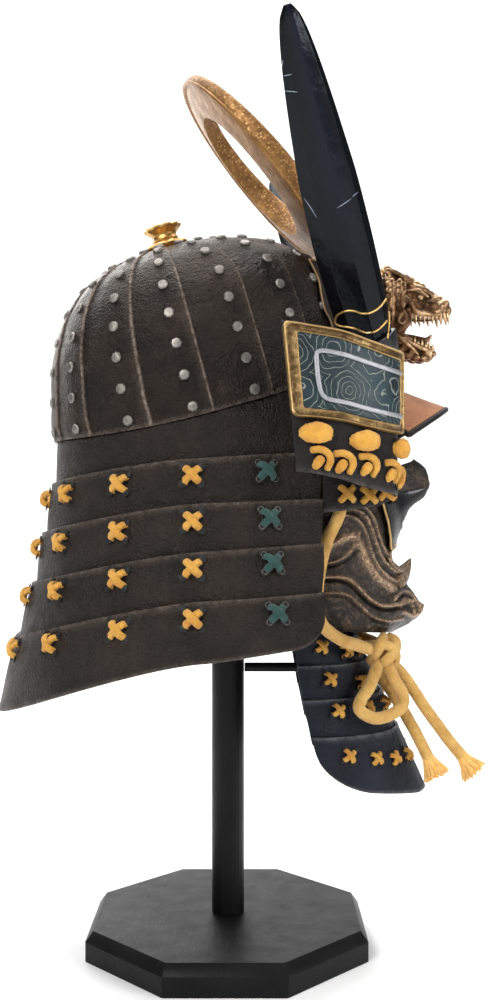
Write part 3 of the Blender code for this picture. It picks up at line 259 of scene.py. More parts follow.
def panel_material():
    """Teal lacquer with broken pale wave lines in the panel's own UV map, in metres."""
    g = Graph("teal_waves")
    uv = g.uv()
    warp = g.add("ShaderNodeVectorMath", {0: uv}, operation="ADD")
    shift = g.add("ShaderNodeVectorMath", operation="SCALE")
    g.tree.links.new(g.add("ShaderNodeTexNoise", {"Vector": uv}, Scale=55.0).outputs["Color"], shift.inputs[0])
    shift.inputs["Scale"].default_value = 0.010
    g.tree.links.new(shift.outputs[0], warp.inputs[1])
    rings = g.cells(33.0, place=warp.outputs[0], random=0.75)
    wave = g.math("SINE", g.math("MULTIPLY", rings, 26.0))
    line = g.ramp(g.math("ABSOLUTE", wave), ((0.10, 1.0), (0.27, 0.0)))
    gaps = g.ramp(g.noise(75.0, 3.0, 0.6, place=uv), ((0.33, 0.0), (0.42, 1.0)))
    line = g.math("MULTIPLY", line, gaps)
    ground = g.ramp(g.noise(40.0, 5.0, 0.6), ((0.3, (0.0035, 0.0105, 0.0135)), (0.72, (0.010, 0.034, 0.044))))
    body = g.mix(g.math("MULTIPLY", line, 0.80), ground, (0.27, 0.30, 0.27))
    g.link(body, "Base Color")
    g.link(g.ramp(g.noise(80.0, 4.0), ((0.3, 0.38), (0.7, 0.6))), "Roughness")
    g.bump(((line, 0.0003), (g.noise(300.0, 5.0, 0.6), 0.0004)))
    return g.set(Metallic=0.15)


IRON = leather("brown_iron", (0.0065, 0.0048, 0.0040), (0.023, 0.0165, 0.0130), (0.26, 0.205, 0.170), 0.85,
               rough=(0.22, 0.40), metal=0.30, grain=0.00085)
HIDE = leather("brown_hide", (0.0060, 0.0046, 0.0040), (0.020, 0.0148, 0.0120), (0.16, 0.125, 0.100), 0.55,
               rough=(0.30, 0.50), grain=0.00085)
BLACK_HIDE = leather("black_hide", (0.0032, 0.0032, 0.0040), (0.0105, 0.0098, 0.0110), (0.11, 0.100, 0.095), 0.6,
                     rough=(0.42, 0.62))
THROAT_HIDE = leather("blue_black_hide", (0.0032, 0.0036, 0.0060), (0.0105, 0.0115, 0.0185), (0.17, 0.17, 0.18), 0.6,
                      rough=(0.44, 0.64), tint=(0.80, 0.88, 1.0))
TAN_HIDE = leather("tan_hide", (0.26, 0.105, 0.050), (0.42, 0.19, 0.095), (0.55, 0.32, 0.20), 0.5,
                   rough=(0.50, 0.66))
STEEL = metal("rivet_steel", (0.045, 0.036, 0.030), (0.120, 0.105, 0.092), (0.27, 0.25, 0.23), rough=(0.38, 0.55))
OLD_GOLD = metal("antique_gold", (0.030, 0.017, 0.008), (0.135, 0.080, 0.034), (0.50, 0.34, 0.145),
                 rough=(0.32, 0.54), dirt=110.0)
GOLD = metal("bright_gold", (0.20, 0.095, 0.025), (0.50, 0.27, 0.075), (0.80, 0.52, 0.19), rough=(0.24, 0.42))
BRONZE = metal("dragon_bronze", (0.010, 0.0045, 0.0025), (0.135, 0.064, 0.028), (0.78, 0.54, 0.31),
               rough=(0.26, 0.46), crest=(0.515, 0.59), low=(0.435, 0.500))


def mask_finish():
    """Dark bronze with the ridges dry-brushed in lighter specks."""
    g = Graph("mask_dark_bronze")
    body = g.ramp(g.noise(48.0, 6.0, 0.65), ((0.30, (0.0050, 0.0040, 0.0036)), (0.72, (0.024, 0.0170, 0.0130))))
    specks = g.ramp(g.noise(520.0, 5.0, 0.75), ((0.44, 0.0), (0.58, 1.0)))
    strokes = g.ramp(g.noise(90.0, 6.0, 0.7, distort=2.0), ((0.48, 0.0), (0.64, 1.0)))
    ridge = g.attribute("wear_and_sheen")
    bright = g.math("ADD", g.math("MULTIPLY", ridge, 0.85), g.math("MULTIPLY", strokes, 0.20))
    bright = g.math("MULTIPLY", bright, g.math("ADD", g.math("MULTIPLY", specks, 0.80), 0.20))
    g.link(g.mix(bright, body, (0.50, 0.33, 0.205)), "Base Color")
    g.link(g.ramp(g.noise(40.0, 4.0), ((0.3, 0.34), (0.7, 0.50))), "Roughness")
    g.bump(((g.noise(110.0, 6.0, 0.62, distort=1.0), 0.0011), (g.noise(480.0, 5.0, 0.65), 0.0006)))
    return g.set(Metallic=0.55)


MASK_METAL = mask_finish()
SILVER = metal("silver_band", (0.14, 0.14, 0.155), (0.27, 0.27, 0.29), (0.42, 0.42, 0.45), rough=(0.42, 0.6))
BLACK_PAINT = painted("stand_black", (0.0022, 0.0022, 0.0024), 0.36, streak=0.25, gloss=0.15)
BLACK_GLOSS = painted("mask_black", (0.0026, 0.0026, 0.0036), 0.22, coat=0.3)
SCRATCH = painted("bare_scratch", (0.22, 0.26, 0.32), 0.5)
DULL_GOLD = painted("dull_gold_line", (0.17, 0.105, 0.042), 0.42)
RIM = painted("eyelet_rim", (0.085, 0.070, 0.058), 0.5)
# Painted shade: the black of the punched holes.
EYELET_SHADE = painted("eyelet_hole_shade", (0.005, 0.005, 0.005), 0.40)
YELLOW = cotton("yellow_cotton", (0.60, 0.255, 0.026), (0.93, 0.53, 0.095))
PALE_YELLOW = cotton("chin_cotton", (0.52, 0.275, 0.062), (0.82, 0.52, 0.160), 0.8)
LOOSE_FIBRE = fibre("cord_fibre", (0.62, 0.33, 0.075), (0.86, 0.55, 0.17))
GREEN = cotton("green_cotton", (0.010, 0.045, 0.040), (0.035, 0.120, 0.105))
TEAL = panel_material()
HORN_BLACK = horn_material()


# ---------------------------------------------------------------- mesh tools
def piece(name, verts, faces, material, smooth=40.0, uvs=None, wear_and_sheen=None, replaces=()):
    """A mesh object that rides on the root body."""
    mesh = bpy.data.meshes.new(name)
    mesh.from_pydata([tuple(v) for v in verts], [], [tuple(int(i) for i in f) for f in faces])
    if uvs is not None:
        layer = mesh.uv_layers.new(name="UVMap")
        index = np.empty(len(mesh.loops), np.int32)
        mesh.loops.foreach_get("vertex_index", index)
        layer.data.foreach_set("uv", np.asarray(uvs, np.float32)[index].ravel())
    # The per-vertex attribute holds real wear on most pieces and the painted blue highlight on the horns.
    if wear_and_sheen is not None:
        layer = mesh.attributes.new("wear_and_sheen", "FLOAT", "POINT")
        layer.data.foreach_set("value", np.asarray(wear_and_sheen, np.float32))
    return finish_piece(name, mesh, material, smooth, replaces)


def finish_piece(name, mesh, material, smooth=40.0, replaces=()):
    mesh.materials.clear()
    mesh.materials.append(material)
    mesh.shade_smooth()
    mesh.set_sharp_from_angle(angle=radians(smooth))
    made = bpy.data.objects.new(name, mesh)
    HOME.objects.link(made)
    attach(made, "root")
    if replaces:
        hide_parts(*replaces)
    return made


def tidy(mesh, merge=1e-6):
    bm = bmesh.new()
    bm.from_mesh(mesh)
    bmesh.ops.remove_doubles(bm, verts=bm.verts, dist=merge)
    bmesh.ops.recalc_face_normals(bm, faces=bm.faces)
    bm.to_mesh(mesh)
    bm.free()


def grid_faces(rows, columns, wrap=False, skip=None):
    faces = []
    for i in range(rows - 1):
        for j in range(columns if wrap else columns - 1):
            if skip is not None and skip(i, j):
                continue
            k = (j + 1) % columns
            faces.append((i * columns + j, i * columns + k, (i + 1) * columns + k, (i + 1) * columns + j))
    return faces


def wall(name, rows, thickness, material, offset=-1.0, wrap=False, wear_and_sheen=None, uvs=None, bevel=0.0008,
         replaces=(), skip=None, smooth=40.0):
    """A sheet of even thickness with rounded edges, from a grid of points."""
    count = len(rows[0])
    verts = [p for row in rows for p in row]
    made = piece(name, verts, grid_faces(len(rows), count, wrap, skip), material, smooth, uvs, wear_and_sheen, replaces)
    solid = made.modifiers.new("wall", "SOLIDIFY")
    solid.thickness = thickness
    solid.offset = offset
    solid.use_even_offset = False
    if bevel:
        edge = made.modifiers.new("edge", "BEVEL")
        edge.width = bevel
        edge.segments = 2
        edge.limit_method = "ANGLE"
        edge.angle_limit = radians(50)
    return made


def frames_along(path, up=None):
    """Tangent and two cross directions at each point of a path, carried along without twist."""
    path = [Vector(p) for p in path]
    tangents = []
    for i in range(len(path)):
        a, b = path[max(0, i - 1)], path[min(len(path) - 1, i + 1)]
        tangents.append((b - a).normalized())
    side = up.copy() if up is not None else tangents[0].orthogonal()
    frames = []
    for tangent in tangents:
        side = (side - tangent * side.dot(tangent)).normalized()
        frames.append((tangent, side, tangent.cross(side)))
    return frames


class Soup:
    """Collects many small closed shapes into one mesh."""

    def __init__(self):
        self.verts, self.faces, self.uvs = [], [], []

    def add(self, verts, faces, uvs=None):
        base = len(self.verts)
        self.verts += [Vector(v) for v in verts]
        self.faces += [tuple(base + i for i in f) for f in faces]
        self.uvs += uvs if uvs else [(0.0, 0.0)] * len(verts)

    def tube(self, path, radius, sides=12, flat=1.0, up=None, taper=None, round_ends=2, phase=0.0):
        """A tube with domed ends; flat squeezes it along up, taper scales each point's radius."""
        path = [Vector(p) for p in path]
        taper = taper or [1.0] * len(path)
        frames = frames_along(path, up)
        rings = [(p, f, radius * t) for p, f, t in zip(path, frames, taper)]
        for end, sign in ((0, -1), (-1, 1)):
            p, f, r = rings[end]
            for k in range(1, round_ends + 1):
                turn = pi / 2 * k / (round_ends + 0.35)
                ring = (p + f[0] * sign * r * 0.8 * sin(turn), f, r * cos(turn))
                rings = [ring] + rings if sign < 0 else rings + [ring]
        verts, uvs, length, last = [], [], 0.0, None
        for p, (tangent, a, b), r in rings:
            length += (p - last).length if last else 0.0
            last = p
            for k in range(sides):
                turn = 2 * pi * k / sides + phase
                verts.append(p + a * r * flat * cos(turn) + b * r * sin(turn))
                uvs.append((length / radius, min(k, sides - k) * 2 / sides))
        faces = grid_faces(len(rings), sides, True)
        faces += [tuple(range(sides))[::-1], tuple((len(rings) - 1) * sides + k for k in range(sides))]
        self.add(verts, faces, uvs)

    def ball(self, centre, radii, turn=None, rows=8, columns=12):
        turn = turn or Matrix.Identity(3)
        verts = []
        for i in range(1, rows):
            a = pi * i / rows
            for k in range(columns):
                b = 2 * pi * k / columns
                spot = Vector((sin(a) * cos(b) * radii[0], sin(a) * sin(b) * radii[1], cos(a) * radii[2]))
                verts.append(Vector(centre) + turn @ spot)
        faces = grid_faces(rows - 1, columns, True)
        verts += [Vector(centre) + turn @ Vector((0, 0, radii[2])), Vector(centre) - turn @ Vector((0, 0, radii[2]))]
        top, low, ring = len(verts) - 2, len(verts) - 1, (rows - 2) * columns
        for k in range(columns):
            faces.append((top, (k + 1) % columns, k))
            faces.append((low, ring + k, ring + (k + 1) % columns))
        self.add(verts, faces)

    def fuzz(self, amount, size=0.0016):
        """Shift every point a little, for a soft uneven outline."""
        for i, v in enumerate(self.verts):
            self.verts[i] = v + noise.noise_vector(v * (1 / size)) * amount

    def placed(self, other, matrix):
        self.add([matrix @ v for v in other.verts], other.faces, other.uvs)

    def make(self, name, material, slot, smooth=60.0, replaces=(), uv=True, wear_and_sheen=0.0):
        worn = [wear_and_sheen] * len(self.verts) if wear_and_sheen else None
        made = piece(name, self.verts, self.faces, material, smooth, self.uvs if uv else None, worn)
        bm = bmesh.new()
        bm.from_mesh(made.data)
        bmesh.ops.recalc_face_normals(bm, faces=bm.faces)
        bm.to_mesh(made.data)
        bm.free()
        if replaces:
            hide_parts(*replaces)
        return made


def smooth_path(points, count):
    """Evenly spaced points on a smooth curve through the given ones; works for any width of rows."""
    pts = [np.array(p, float) for p in points]
    ends = [pts[0] * 2 - pts[1]] + pts + [pts[-1] * 2 - pts[-2]]
    fine = []
    for a, b, c, d in zip(ends, ends[1:], ends[2:], ends[3:]):
        for i in range(16):
            t = i / 16
            fine.append(0.5 * (2 * b + (c - a) * t + (2 * a - 5 * b + 4 * c - d) * t * t
                               + (3 * b - a - 3 * c + d) * t ** 3))
    fine.append(pts[-1])
    lengths = [0.0]
    for a, b in zip(fine, fine[1:]):
        lengths.append(lengths[-1] + float(np.linalg.norm((b - a)[:3])))
    route, j = [], 0
    for i in range(count):
        goal = lengths[-1] * i / (count - 1)
        while j < len(fine) - 2 and lengths[j + 1] < goal:
            j += 1
        part = min(1.0, (goal - lengths[j]) / max(1e-12, lengths[j + 1] - lengths[j]))
        route.append(fine[j] + (fine[j + 1] - fine[j]) * part)
    return route


def curve_at(xs, ys, x):
    """A smooth curve through table points that never overshoots them."""
    n = len(xs)
    if x <= xs[0]:
        return ys[0]
    if x >= xs[-1]:
        return ys[-1]
    i = max(k for k in range(n - 1) if xs[k] <= x)
    slopes = [(ys[k + 1] - ys[k]) / (xs[k + 1] - xs[k]) for k in range(n - 1)]

    def tangent(k):
        if k == 0:
            return slopes[0]
        if k == n - 1:
            return slopes[-1]
        a, b = slopes[k - 1], slopes[k]
        return 0.0 if a * b <= 0 else 2 * a * b / (a + b)

    h = xs[i + 1] - xs[i]
    t = (x - xs[i]) / h
    return (ys[i] * (1 + 2 * t) * (1 - t) ** 2 + tangent(i) * h * t * (1 - t) ** 2
            + ys[i + 1] * t * t * (3 - 2 * t) + tangent(i + 1) * h * t * t * (t - 1))


def rough(point, size, amount, seed=0.0):
    """A small smooth random offset at a point."""
    return amount * noise.noise(Vector(point) * (1 / size) + Vector((seed, seed * 1.7, -seed)))


def cross_lacing(half, width, rise):
    """A small X of flat braid, in its own frame with Z out of the surface."""
    made = Soup()
    for k, slope in enumerate((1, -1)):
        path = []
        for i in range(13):
            t = i / 6 - 1
            lift = (rise + k * width * 0.35) * (1 - abs(t) ** 3) + width * 0.10 - (0.55 * width if abs(t) > 0.95 else 0.0)
            path.append((t * half, t * half * slope, lift))
        made.tube(path, width / 2, 12, 0.72, Vector((0, 0, 1)), taper=[0.92 + 0.08 * (1 - abs(i / 6 - 1)) for i in range(13)])
    return made


def eyelets(half, radius):
    """Punched holes at the ends of an X, as thin rings with a sunken middle; their dark colour is painted shade inside
    the holes.
    """
    made = Soup()
    for a in (-1, 1):
        for b in (-1, 1):
            ring = []
            for k in range(15):
                turn = 2 * pi * k / 14
                ring.append((a * half + cos(turn) * radius, b * half + sin(turn) * radius, 0.0001))
            made.tube(ring, radius * 0.24, 6, 0.7, Vector((0, 0, 1)), round_ends=1)
            made.ball((a * half, b * half, 0.0), (radius, radius, 0.00060), rows=6)
    return made


def eyelet_rims(half, radius):
    """The pale worn edges of the punched holes."""
    made = Soup()
    for a in (-1, 1):
        for b in (-1, 1):
            ring = []
            for k in range(15):
                turn = 2 * pi * k / 14
                ring.append((a * half + cos(turn) * radius, b * half + sin(turn) * radius, 0.0003))
            made.tube(ring, radius * 0.17, 6, 0.7, Vector((0, 0, 1)), round_ends=1)
    return made


def frame_at(point, normal, up=Vector((0, 0, 1)), spin=0.0):
    """A matrix whose Z is the normal and whose Y is near up."""
    z = normal.normalized()
    x = up.cross(z).normalized()
    y = z.cross(x)
    turn = Matrix((x, y, z)).transposed().to_4x4()
    return Matrix.Translation(point) @ turn @ Matrix.Rotation(spin, 4, "Z")


# ---------------------------------------------------------------- chin cord
CORD = 0.010
KNOT = Vector((0.1270, -0.0370, 0.2489))
KNOT_RADIUS = 0.0125
RIGHT_ROUTE = (
    (0.0925, -0.0768, 0.3906), (0.0890, -0.0774, 0.3646), (0.0785, -0.0784, 0.3410),
    (0.0728, -0.0786, 0.3156), (0.0715, -0.0768, 0.2956), (0.0755, -0.0738, 0.2766),
    (0.0900, -0.0660, 0.2640), (0.1040, -0.0550, 0.2580),
)
LEFT_ROUTE = (
    (0.0925, 0.0768, 0.3906), (0.0890, 0.0774, 0.3646), (0.0785, 0.0784, 0.3410),
    (0.0728, 0.0786, 0.3156), (0.0715, 0.0768, 0.2956), (0.0755, 0.0738, 0.2766),
    (0.0880, 0.0660, 0.2650), (0.1030, 0.0540, 0.2580), (0.1180, 0.0380, 0.2530),
    (0.1290, 0.0200, 0.2500), (0.1360, 0.0000, 0.2480), (0.1385, -0.0190, 0.2475),
)
BOW_ROUTE = (
    (0.1150, -0.0560, 0.2250), (0.1075, -0.0610, 0.2150), (0.1065, -0.0630, 0.2070),
    (0.1170, -0.0600, 0.2001), (0.1300, -0.0535, 0.2006), (0.1420, -0.0455, 0.2066),
    (0.1430, -0.0440, 0.2160), (0.1370, -0.0470, 0.2270),
)
TAIL_ROUTES = (
    ((0.1450, -0.0300, 0.2300), (0.1530, -0.0290, 0.2190), (0.1620, -0.0290, 0.2050),
     (0.1730, -0.0300, 0.1896), (0.1850, -0.0310, 0.1736), (0.1950, -0.0320, 0.1616)),
    ((0.1270, -0.0220, 0.2300), (0.1360, -0.0240, 0.2160), (0.1450, -0.0290, 0.2010),
     (0.1540, -0.0340, 0.1850), (0.1610, -0.0370, 0.1710), (0.1655, -0.0385, 0.1616)),
)


def at_knot(point, depth=0.006):
    return KNOT + (Vector(point) - KNOT).normalized() * (KNOT_RADIUS - depth)


def cord_piece(name, path, replaces, material=PALE_YELLOW):
    made = Soup()
    fine = smooth_path(path, max(24, int(len(path) * 9)))
    taper = [1.0 + 0.035 * noise.noise(Vector(p) * 95) for p in fine]
    made.tube(fine, CORD / 2, 20, taper=taper, round_ends=3)
    made.fuzz(0.00022)
    return made.make(name, material, replaces[0], replaces=replaces), fine


def frayed_end(name, path, seed, replaces):
    """A tuft of loosened strands beyond the end of a tail."""
    made = Soup()
    end, before = Vector(path[-1]), Vector(path[-3])
    along = (end - before).normalized()
    a = along.orthogonal().normalized()
    b = along.cross(a)
    rng = np.random.default_rng(seed)
    count = 170
    for k in range(count):
        turn = 2.399963 * k
        out = sqrt((k + 0.5) / count)
        start = end - along * 0.004 + (a * cos(turn) + b * sin(turn)) * out * CORD * 0.43
        flare = 0.0066 * out + 0.0014 * rng.random()
        reach = 0.0172 * (0.86 + 0.2 * rng.random())
        wave = rng.random() * 6.28
        strand = []
        for i in range(6):
            t = i / 5
            spread = flare * t ** 1.6
            wobble = 0.0011 * sin(wave + t * 5) * t
            strand.append(start + along * reach * t + (a * cos(turn) + b * sin(turn)) * spread
                          + (a * sin(wave) + b * cos(wave)) * wobble + Vector((0, 0, -0.0012)) * t * t)
        made.tube(strand, 0.00074, 5, taper=[1.0, 1.0, 1.0, 0.95, 0.9, 0.7], round_ends=1)
    made.ball(end + along * 0.002, (CORD * 0.46, CORD * 0.46, CORD * 0.55), along.to_track_quat("Z", "Y").to_matrix())
    return made.make(name, LOOSE_FIBRE, replaces[0], replaces=replaces, uv=False)


def make_chin_cord():
    knot = Soup()
    view = Vector((0, -1, 0))
    # Wraps of the knot, seen from the wearer's right, as offsets across, up and towards the viewer
    wraps = (
        ((-12, 6, -3), (-8, 7, 4), (-2, 8, 8), (4, 7, 8), (9, 3, 5), (11, -3, 2), (9, -9, 0), (5, -12, -2)),
        ((-9, -6, 0), (-7, -1, 7), (-4, 5, 11), (-1, 11, 8), (1, 13, 1), (1, 10, -5)),
        ((-3, -9, 3), (2, -5, 9), (7, 0, 9), (11, 5, 4), (11, 10, -2), (7, 12, -6)),
        ((-8, 0, -6), (-2, -4, -8), (6, -5, -7), (11, 0, -4), (8, 8, -3), (0, 11, -4)),
    )
    for wrap in wraps:
        path = [KNOT + Vector((x, -out, z)) * 0.001 for x, z, out in wrap]
        knot.tube(smooth_path(path, 40), CORD * 0.43, 16, round_ends=3)
    knot.ball(KNOT, (0.0085, 0.0065, 0.0085))
    knot.fuzz(0.00025)
    knot_piece = knot.make("chin_cord_knot_wraps", PALE_YELLOW, "chin_cord_knot", replaces=("chin_cord_knot",))
    right_path = [Vector(p) for p in RIGHT_ROUTE] + [at_knot(RIGHT_ROUTE[-1])]
    left_path = [Vector(p) for p in LEFT_ROUTE] + [at_knot(LEFT_ROUTE[-1])]
    bow_path = [at_knot(BOW_ROUTE[0])] + [Vector(p) for p in BOW_ROUTE] + [at_knot(BOW_ROUTE[-1])]
    for label, path in (("right", right_path), ("left", left_path), ("bow", bow_path)):
        cord_piece(f"chin_cord_{label}_strand", path, (f"chin_cord_{label}",))
    for k, route in enumerate(TAIL_ROUTES):
        path = [at_knot(route[0])] + [Vector(p) for p in route]
        cord_piece(f"chin_cord_tail_{k + 1}_strand", path, (f"chin_cord_tail_{k + 1}",))
        frayed_end(f"chin_cord_fray_{k + 1}_strands", path, 11 + k,
                                           (f"chin_cord_fray_{k + 1}",))


make_chin_cord()


# ---------------------------------------------------------------- bowl
BOWL_X, BOWL_Z, BOWL_TILT = -0.0135, 0.4321, radians(15)
BOWL_HEIGHT, BOWL_FRONT, BOWL_REAR, BOWL_HALF = 0.158, 0.128, 0.129, 0.108
BOWL_WALL, PLATE_STEP = 0.0022, 0.0016
RIM_SIDE, RIM_REAR, RIM_FRONT = 0.008, 0.025, 0.017
BOWL_TABLE = (
    (0.00, 0.990, 1.000, 1.000), (0.18, 1.000, 1.000, 1.000), (0.36, 0.995, 0.955, 0.985),
    (0.52, 0.985, 0.900, 0.950), (0.65, 0.972, 0.828, 0.895), (0.75, 0.925, 0.750, 0.820),
    (0.84, 0.800, 0.648, 0.715), (0.91, 0.645, 0.522, 0.580), (0.96, 0.455, 0.360, 0.405),
    (0.99, 0.240, 0.210, 0.225), (1.00, 0.090, 0.090, 0.090),
)
BOWL_COLUMNS = list(zip(*BOWL_TABLE))
SEAMS = [radians(t) for t in (0, 21, 42, 64, 86, 108, 134, 157, 180)]


def bowl_world(x, y, z):
    return Vector((BOWL_X + x * cos(BOWL_TILT) - z * sin(BOWL_TILT), y,
                   BOWL_Z + x * sin(BOWL_TILT) + z * cos(BOWL_TILT)))


def rim_height(turn):
    front, rear = max(0.0, cos(turn)) ** 2, max(0.0, -cos(turn)) ** 2
    return RIM_SIDE + (RIM_FRONT - RIM_SIDE) * front + (RIM_REAR - RIM_SIDE) * rear


BOWL_FINE = []
for i in range(401):
    share = i / 400
    BOWL_FINE.append([curve_at(BOWL_COLUMNS[0], BOWL_COLUMNS[k], share) for k in (1, 2, 3)])


def bowl_shape(turn, height):
    share = min(1.0, max(0.0, height / BOWL_HEIGHT)) * 400
    low = min(399, int(share))
    front, rear, side = (a + (b - a) * (share - low) for a, b in zip(BOWL_FINE[low], BOWL_FINE[low + 1]))
    reach = BOWL_FRONT * front if cos(turn) > 0 else BOWL_REAR * rear
    return reach * cos(turn), BOWL_HALF * side * sin(turn)


def bowl_point(turn, height, proud=0.0):
    x, y = bowl_shape(turn, height)
    low, high = max(0.0, height - 0.004), min(BOWL_HEIGHT, height + 0.004)
    radius_low, radius_high = hypot(*bowl_shape(turn, low)), hypot(*bowl_shape(turn, high))
    slope = hypot(high - low, radius_high - radius_low)
    out, up = (high - low) / slope, (radius_low - radius_high) / slope
    radius = hypot(x, y)
    return bowl_world(x + x / radius * out * proud, y + y / radius * out * proud, height + up * proud)


def rim_point(turn, proud=0.0):
    x, y = bowl_shape(turn, rim_height(turn))
    radius = hypot(x, y)
    return bowl_world(x * (1 + proud / radius), y * (1 + proud / radius), rim_height(turn))


def bowl_normal(turn, height):
    a = bowl_point(turn + 0.02, height) - bowl_point(turn - 0.02, height)
    b = bowl_point(turn, height + 0.001) - bowl_point(turn, height - 0.001)
    n = a.cross(b).normalized()
    return n if n.dot(bowl_point(turn, height, 0.01) - bowl_point(turn, height)) > 0 else -n


def bowl_columns():
    """Turn, rise and wear of each column, front to back on one side and mirrored."""
    side = []
    for k, (front, rear) in enumerate(zip(SEAMS, SEAMS[1:])):
        last = k == len(SEAMS) - 2
        lip = radians(0.55)
        for t, wear_and_sheen in ((0.0, 1.0), (0.012, 0.9), (0.035, 0.12), (0.14, 0.0), (0.3, 0.0), (0.45, 0.0), (0.6, 0.0),
                        (0.75, 0.0), (0.9, 0.0), (0.985, 0.0)):
            turn = front + lip + (rear - front - lip) * t if k else front + (rear - front) * t
            rise = PLATE_STEP * (1 - t) if not last else PLATE_STEP
            rise += 0.0006 * sin(pi * t)
            if t == 0.0 and k:
                rise -= 0.0004
            side.append((turn, rise, wear_and_sheen if k else 0.0))
        side.append((rear, 0.0 if not last else PLATE_STEP, 0.0))
    return side + [(-turn, rise, wear_and_sheen) for turn, rise, wear_and_sheen in side[-2:0:-1]]


def make_bowl():
    columns = bowl_columns()
    shares = [1 - (1 - i / 54) ** 1.45 for i in range(55)]
    outer, wear_and_sheen = [], []
    for share in shares:
        fade = min(1.0, (1.0 - share) / 0.04)
        row = []
        for turn, rise, worn in columns:
            height = rim_height(turn) + (BOWL_HEIGHT - rim_height(turn)) * share
            spot = bowl_point(turn, height, rise * fade)
            row.append(bowl_point(turn, height, (rise + rough(spot, 0.016, 0.00045)) * fade))
            wear_and_sheen.append(max(worn * min(1.0, fade + 0.2), 0.5 if share < 0.012 else 0.0))
        outer.append(row)
    wall("bowl_plates", outer, BOWL_WALL, IRON, offset=-1.0, wrap=True, wear_and_sheen=wear_and_sheen, bevel=0.0,
         replaces=("bowl",), smooth=28)
    rivets = Soup()
    lines = []
    for k, (front, rear) in enumerate(zip(SEAMS, SEAMS[1:])):
        turn = front + (rear - front) * (0.33 if k else 0.0)
        lines += [turn] if turn == 0 else [turn, -turn]
    for turn in lines:
        height, since, count = rim_height(turn) + 0.0075, 0.0, 0
        last = bowl_point(turn, height)
        want = 0.0
        while height < BOWL_HEIGHT * 0.985 and count < 8:
            spot = bowl_point(turn, height)
            since += (spot - last).length
            last = spot
            if since >= want and hypot(*bowl_shape(turn, height)) > 0.030:
                normal = bowl_normal(turn, height)
                octagon = Soup()
                verts = []
                for ring, (r, z) in enumerate(((0.0042, 0.0), (0.0043, 0.0011), (0.0034, 0.0023), (0.0014, 0.0026))):
                    verts += [(r * cos(pi * i / 4), r * sin(pi * i / 4), z) for i in range(8)]
                octagon.add(verts, grid_faces(4, 8, True) + [tuple(range(8))[::-1], tuple(range(24, 32))])
                base = spot + normal * (PLATE_STEP * 0.67 + 0.0002)
                rivets.placed(octagon, frame_at(base, normal, spin=0.4 * count))
                want = since + 0.0245
                count += 1
            height += 0.0004
    rivets.make("bowl_rivets", STEEL, "bowl", smooth=25)


def make_finial():
    """Two flared tiers of petals round an open cup."""
    seat = BOWL_HEIGHT + 0.0004
    profile = ((0.000, 0.0110, 0.0), (0.0070, 0.0115, 0.0), (0.0100, 0.0150, 0.02), (0.0124, 0.0206, 0.05),
               (0.0142, 0.0212, 0.09), (0.0158, 0.0200, 0.12), (0.0146, 0.0178, 0.10), (0.0112, 0.0150, 0.03),
               (0.0104, 0.0128, 0.0), (0.0116, 0.0110, 0.0), (0.0106, 0.0092, 0.0), (0.0128, 0.0078, 0.03),
               (0.0176, 0.0058, 0.07), (0.0194, 0.0040, 0.08), (0.0188, 0.0022, 0.06), (0.0170, 0.0012, 0.02),
               (0.0182, 0.0000, 0.0))
    rows, sides = [], 72
    fine = smooth_path([(r, z, petal) for r, z, petal in profile], 70)
    matrix = Matrix.Translation(bowl_world(0.004, 0, seat)) @ Matrix.Rotation(-BOWL_TILT, 4, "Y")
    for r, z, petal in fine:
        row = []
        for k in range(sides):
            turn = 2 * pi * k / sides
            swell = 1 + petal * (abs(cos(turn * 5)) - 0.6)
            row.append(matrix @ Vector((max(0.0002, r) * swell * cos(turn), max(0.0002, r) * swell * sin(turn),
                                        max(0.0, z) + petal * 0.006 * abs(cos(turn * 5)))))
        rows.append(row)
    made = Soup()
    verts = [p for row in rows for p in row]
    faces = grid_faces(len(rows), sides, True) + [tuple(range(sides))]
    faces.append(tuple((len(rows) - 1) * sides + k for k in range(sides))[::-1])
    made.add(verts, faces)
    made.make("finial_petals", GOLD, "crown_finial", smooth=35, replaces=("crown_finial",), uv=False)


make_bowl()
make_finial()

# ---------------------------------------------------------------- neck guard
NECK_X, NECK_LENGTH, NECK_WIDTH = -0.014, 0.179, 0.148
NECK_Z, NECK_DEPTH, NECK_FRONT, NECK_CORNER = 0.4401, 0.184, 0.075, 0.021
LEATHER = 0.0025
NECK_EDGES = (
    (0.750, 0.743, 0.183, 0.103, 0.031), (0.793, 0.797, 0.370, 0.136, 0.018),
    (0.841, 0.851, 0.565, 0.166, 0.030), (0.914, 0.919, 0.761, 0.207, 0.027),
    (1.000, 1.000, 1.000, 0.310, 0.062),
)


def edge_point(edge, turn, inset=0.0):
    length, width, drop, rear_drop, front_rise = edge
    x = NECK_X + (NECK_LENGTH * length - inset) * cos(turn)
    y = (NECK_WIDTH * width - inset) * sin(turn)
    z = NECK_Z - NECK_DEPTH * drop
    if x < NECK_X:
        z -= NECK_DEPTH * rear_drop * ((NECK_X - x) / (NECK_LENGTH * length)) ** 1.4
    else:
        z += NECK_DEPTH * front_rise * (x - NECK_X) / (NECK_FRONT - NECK_X)
    return Vector((x, y, z))


def front_turn(edge):
    return pi / 2 - asin(min(1.0, (NECK_FRONT - NECK_X) / (NECK_LENGTH * edge[0])))


def neck_turns(start, count=150):
    span = 2 * pi - 2 * start
    return [start + span * (0.5 - 0.5 * cos(pi * (0.04 + 0.92 * i / (count - 1)))
                            - (0.5 - 0.5 * cos(pi * 0.04))) / cos(pi * 0.04) for i in range(count)]


def uneven(rows, size, amount, seed, centre=(NECK_X, 0.0)):
    """Slight waves in a leather sheet, in and out from the middle."""
    made = []
    for row in rows:
        line = []
        for p in row:
            out = Vector((p.x - centre[0], p.y - centre[1], 0.0)).normalized()
            line.append(p + out * rough(p, size, amount, seed))
        made.append(line)
    return made


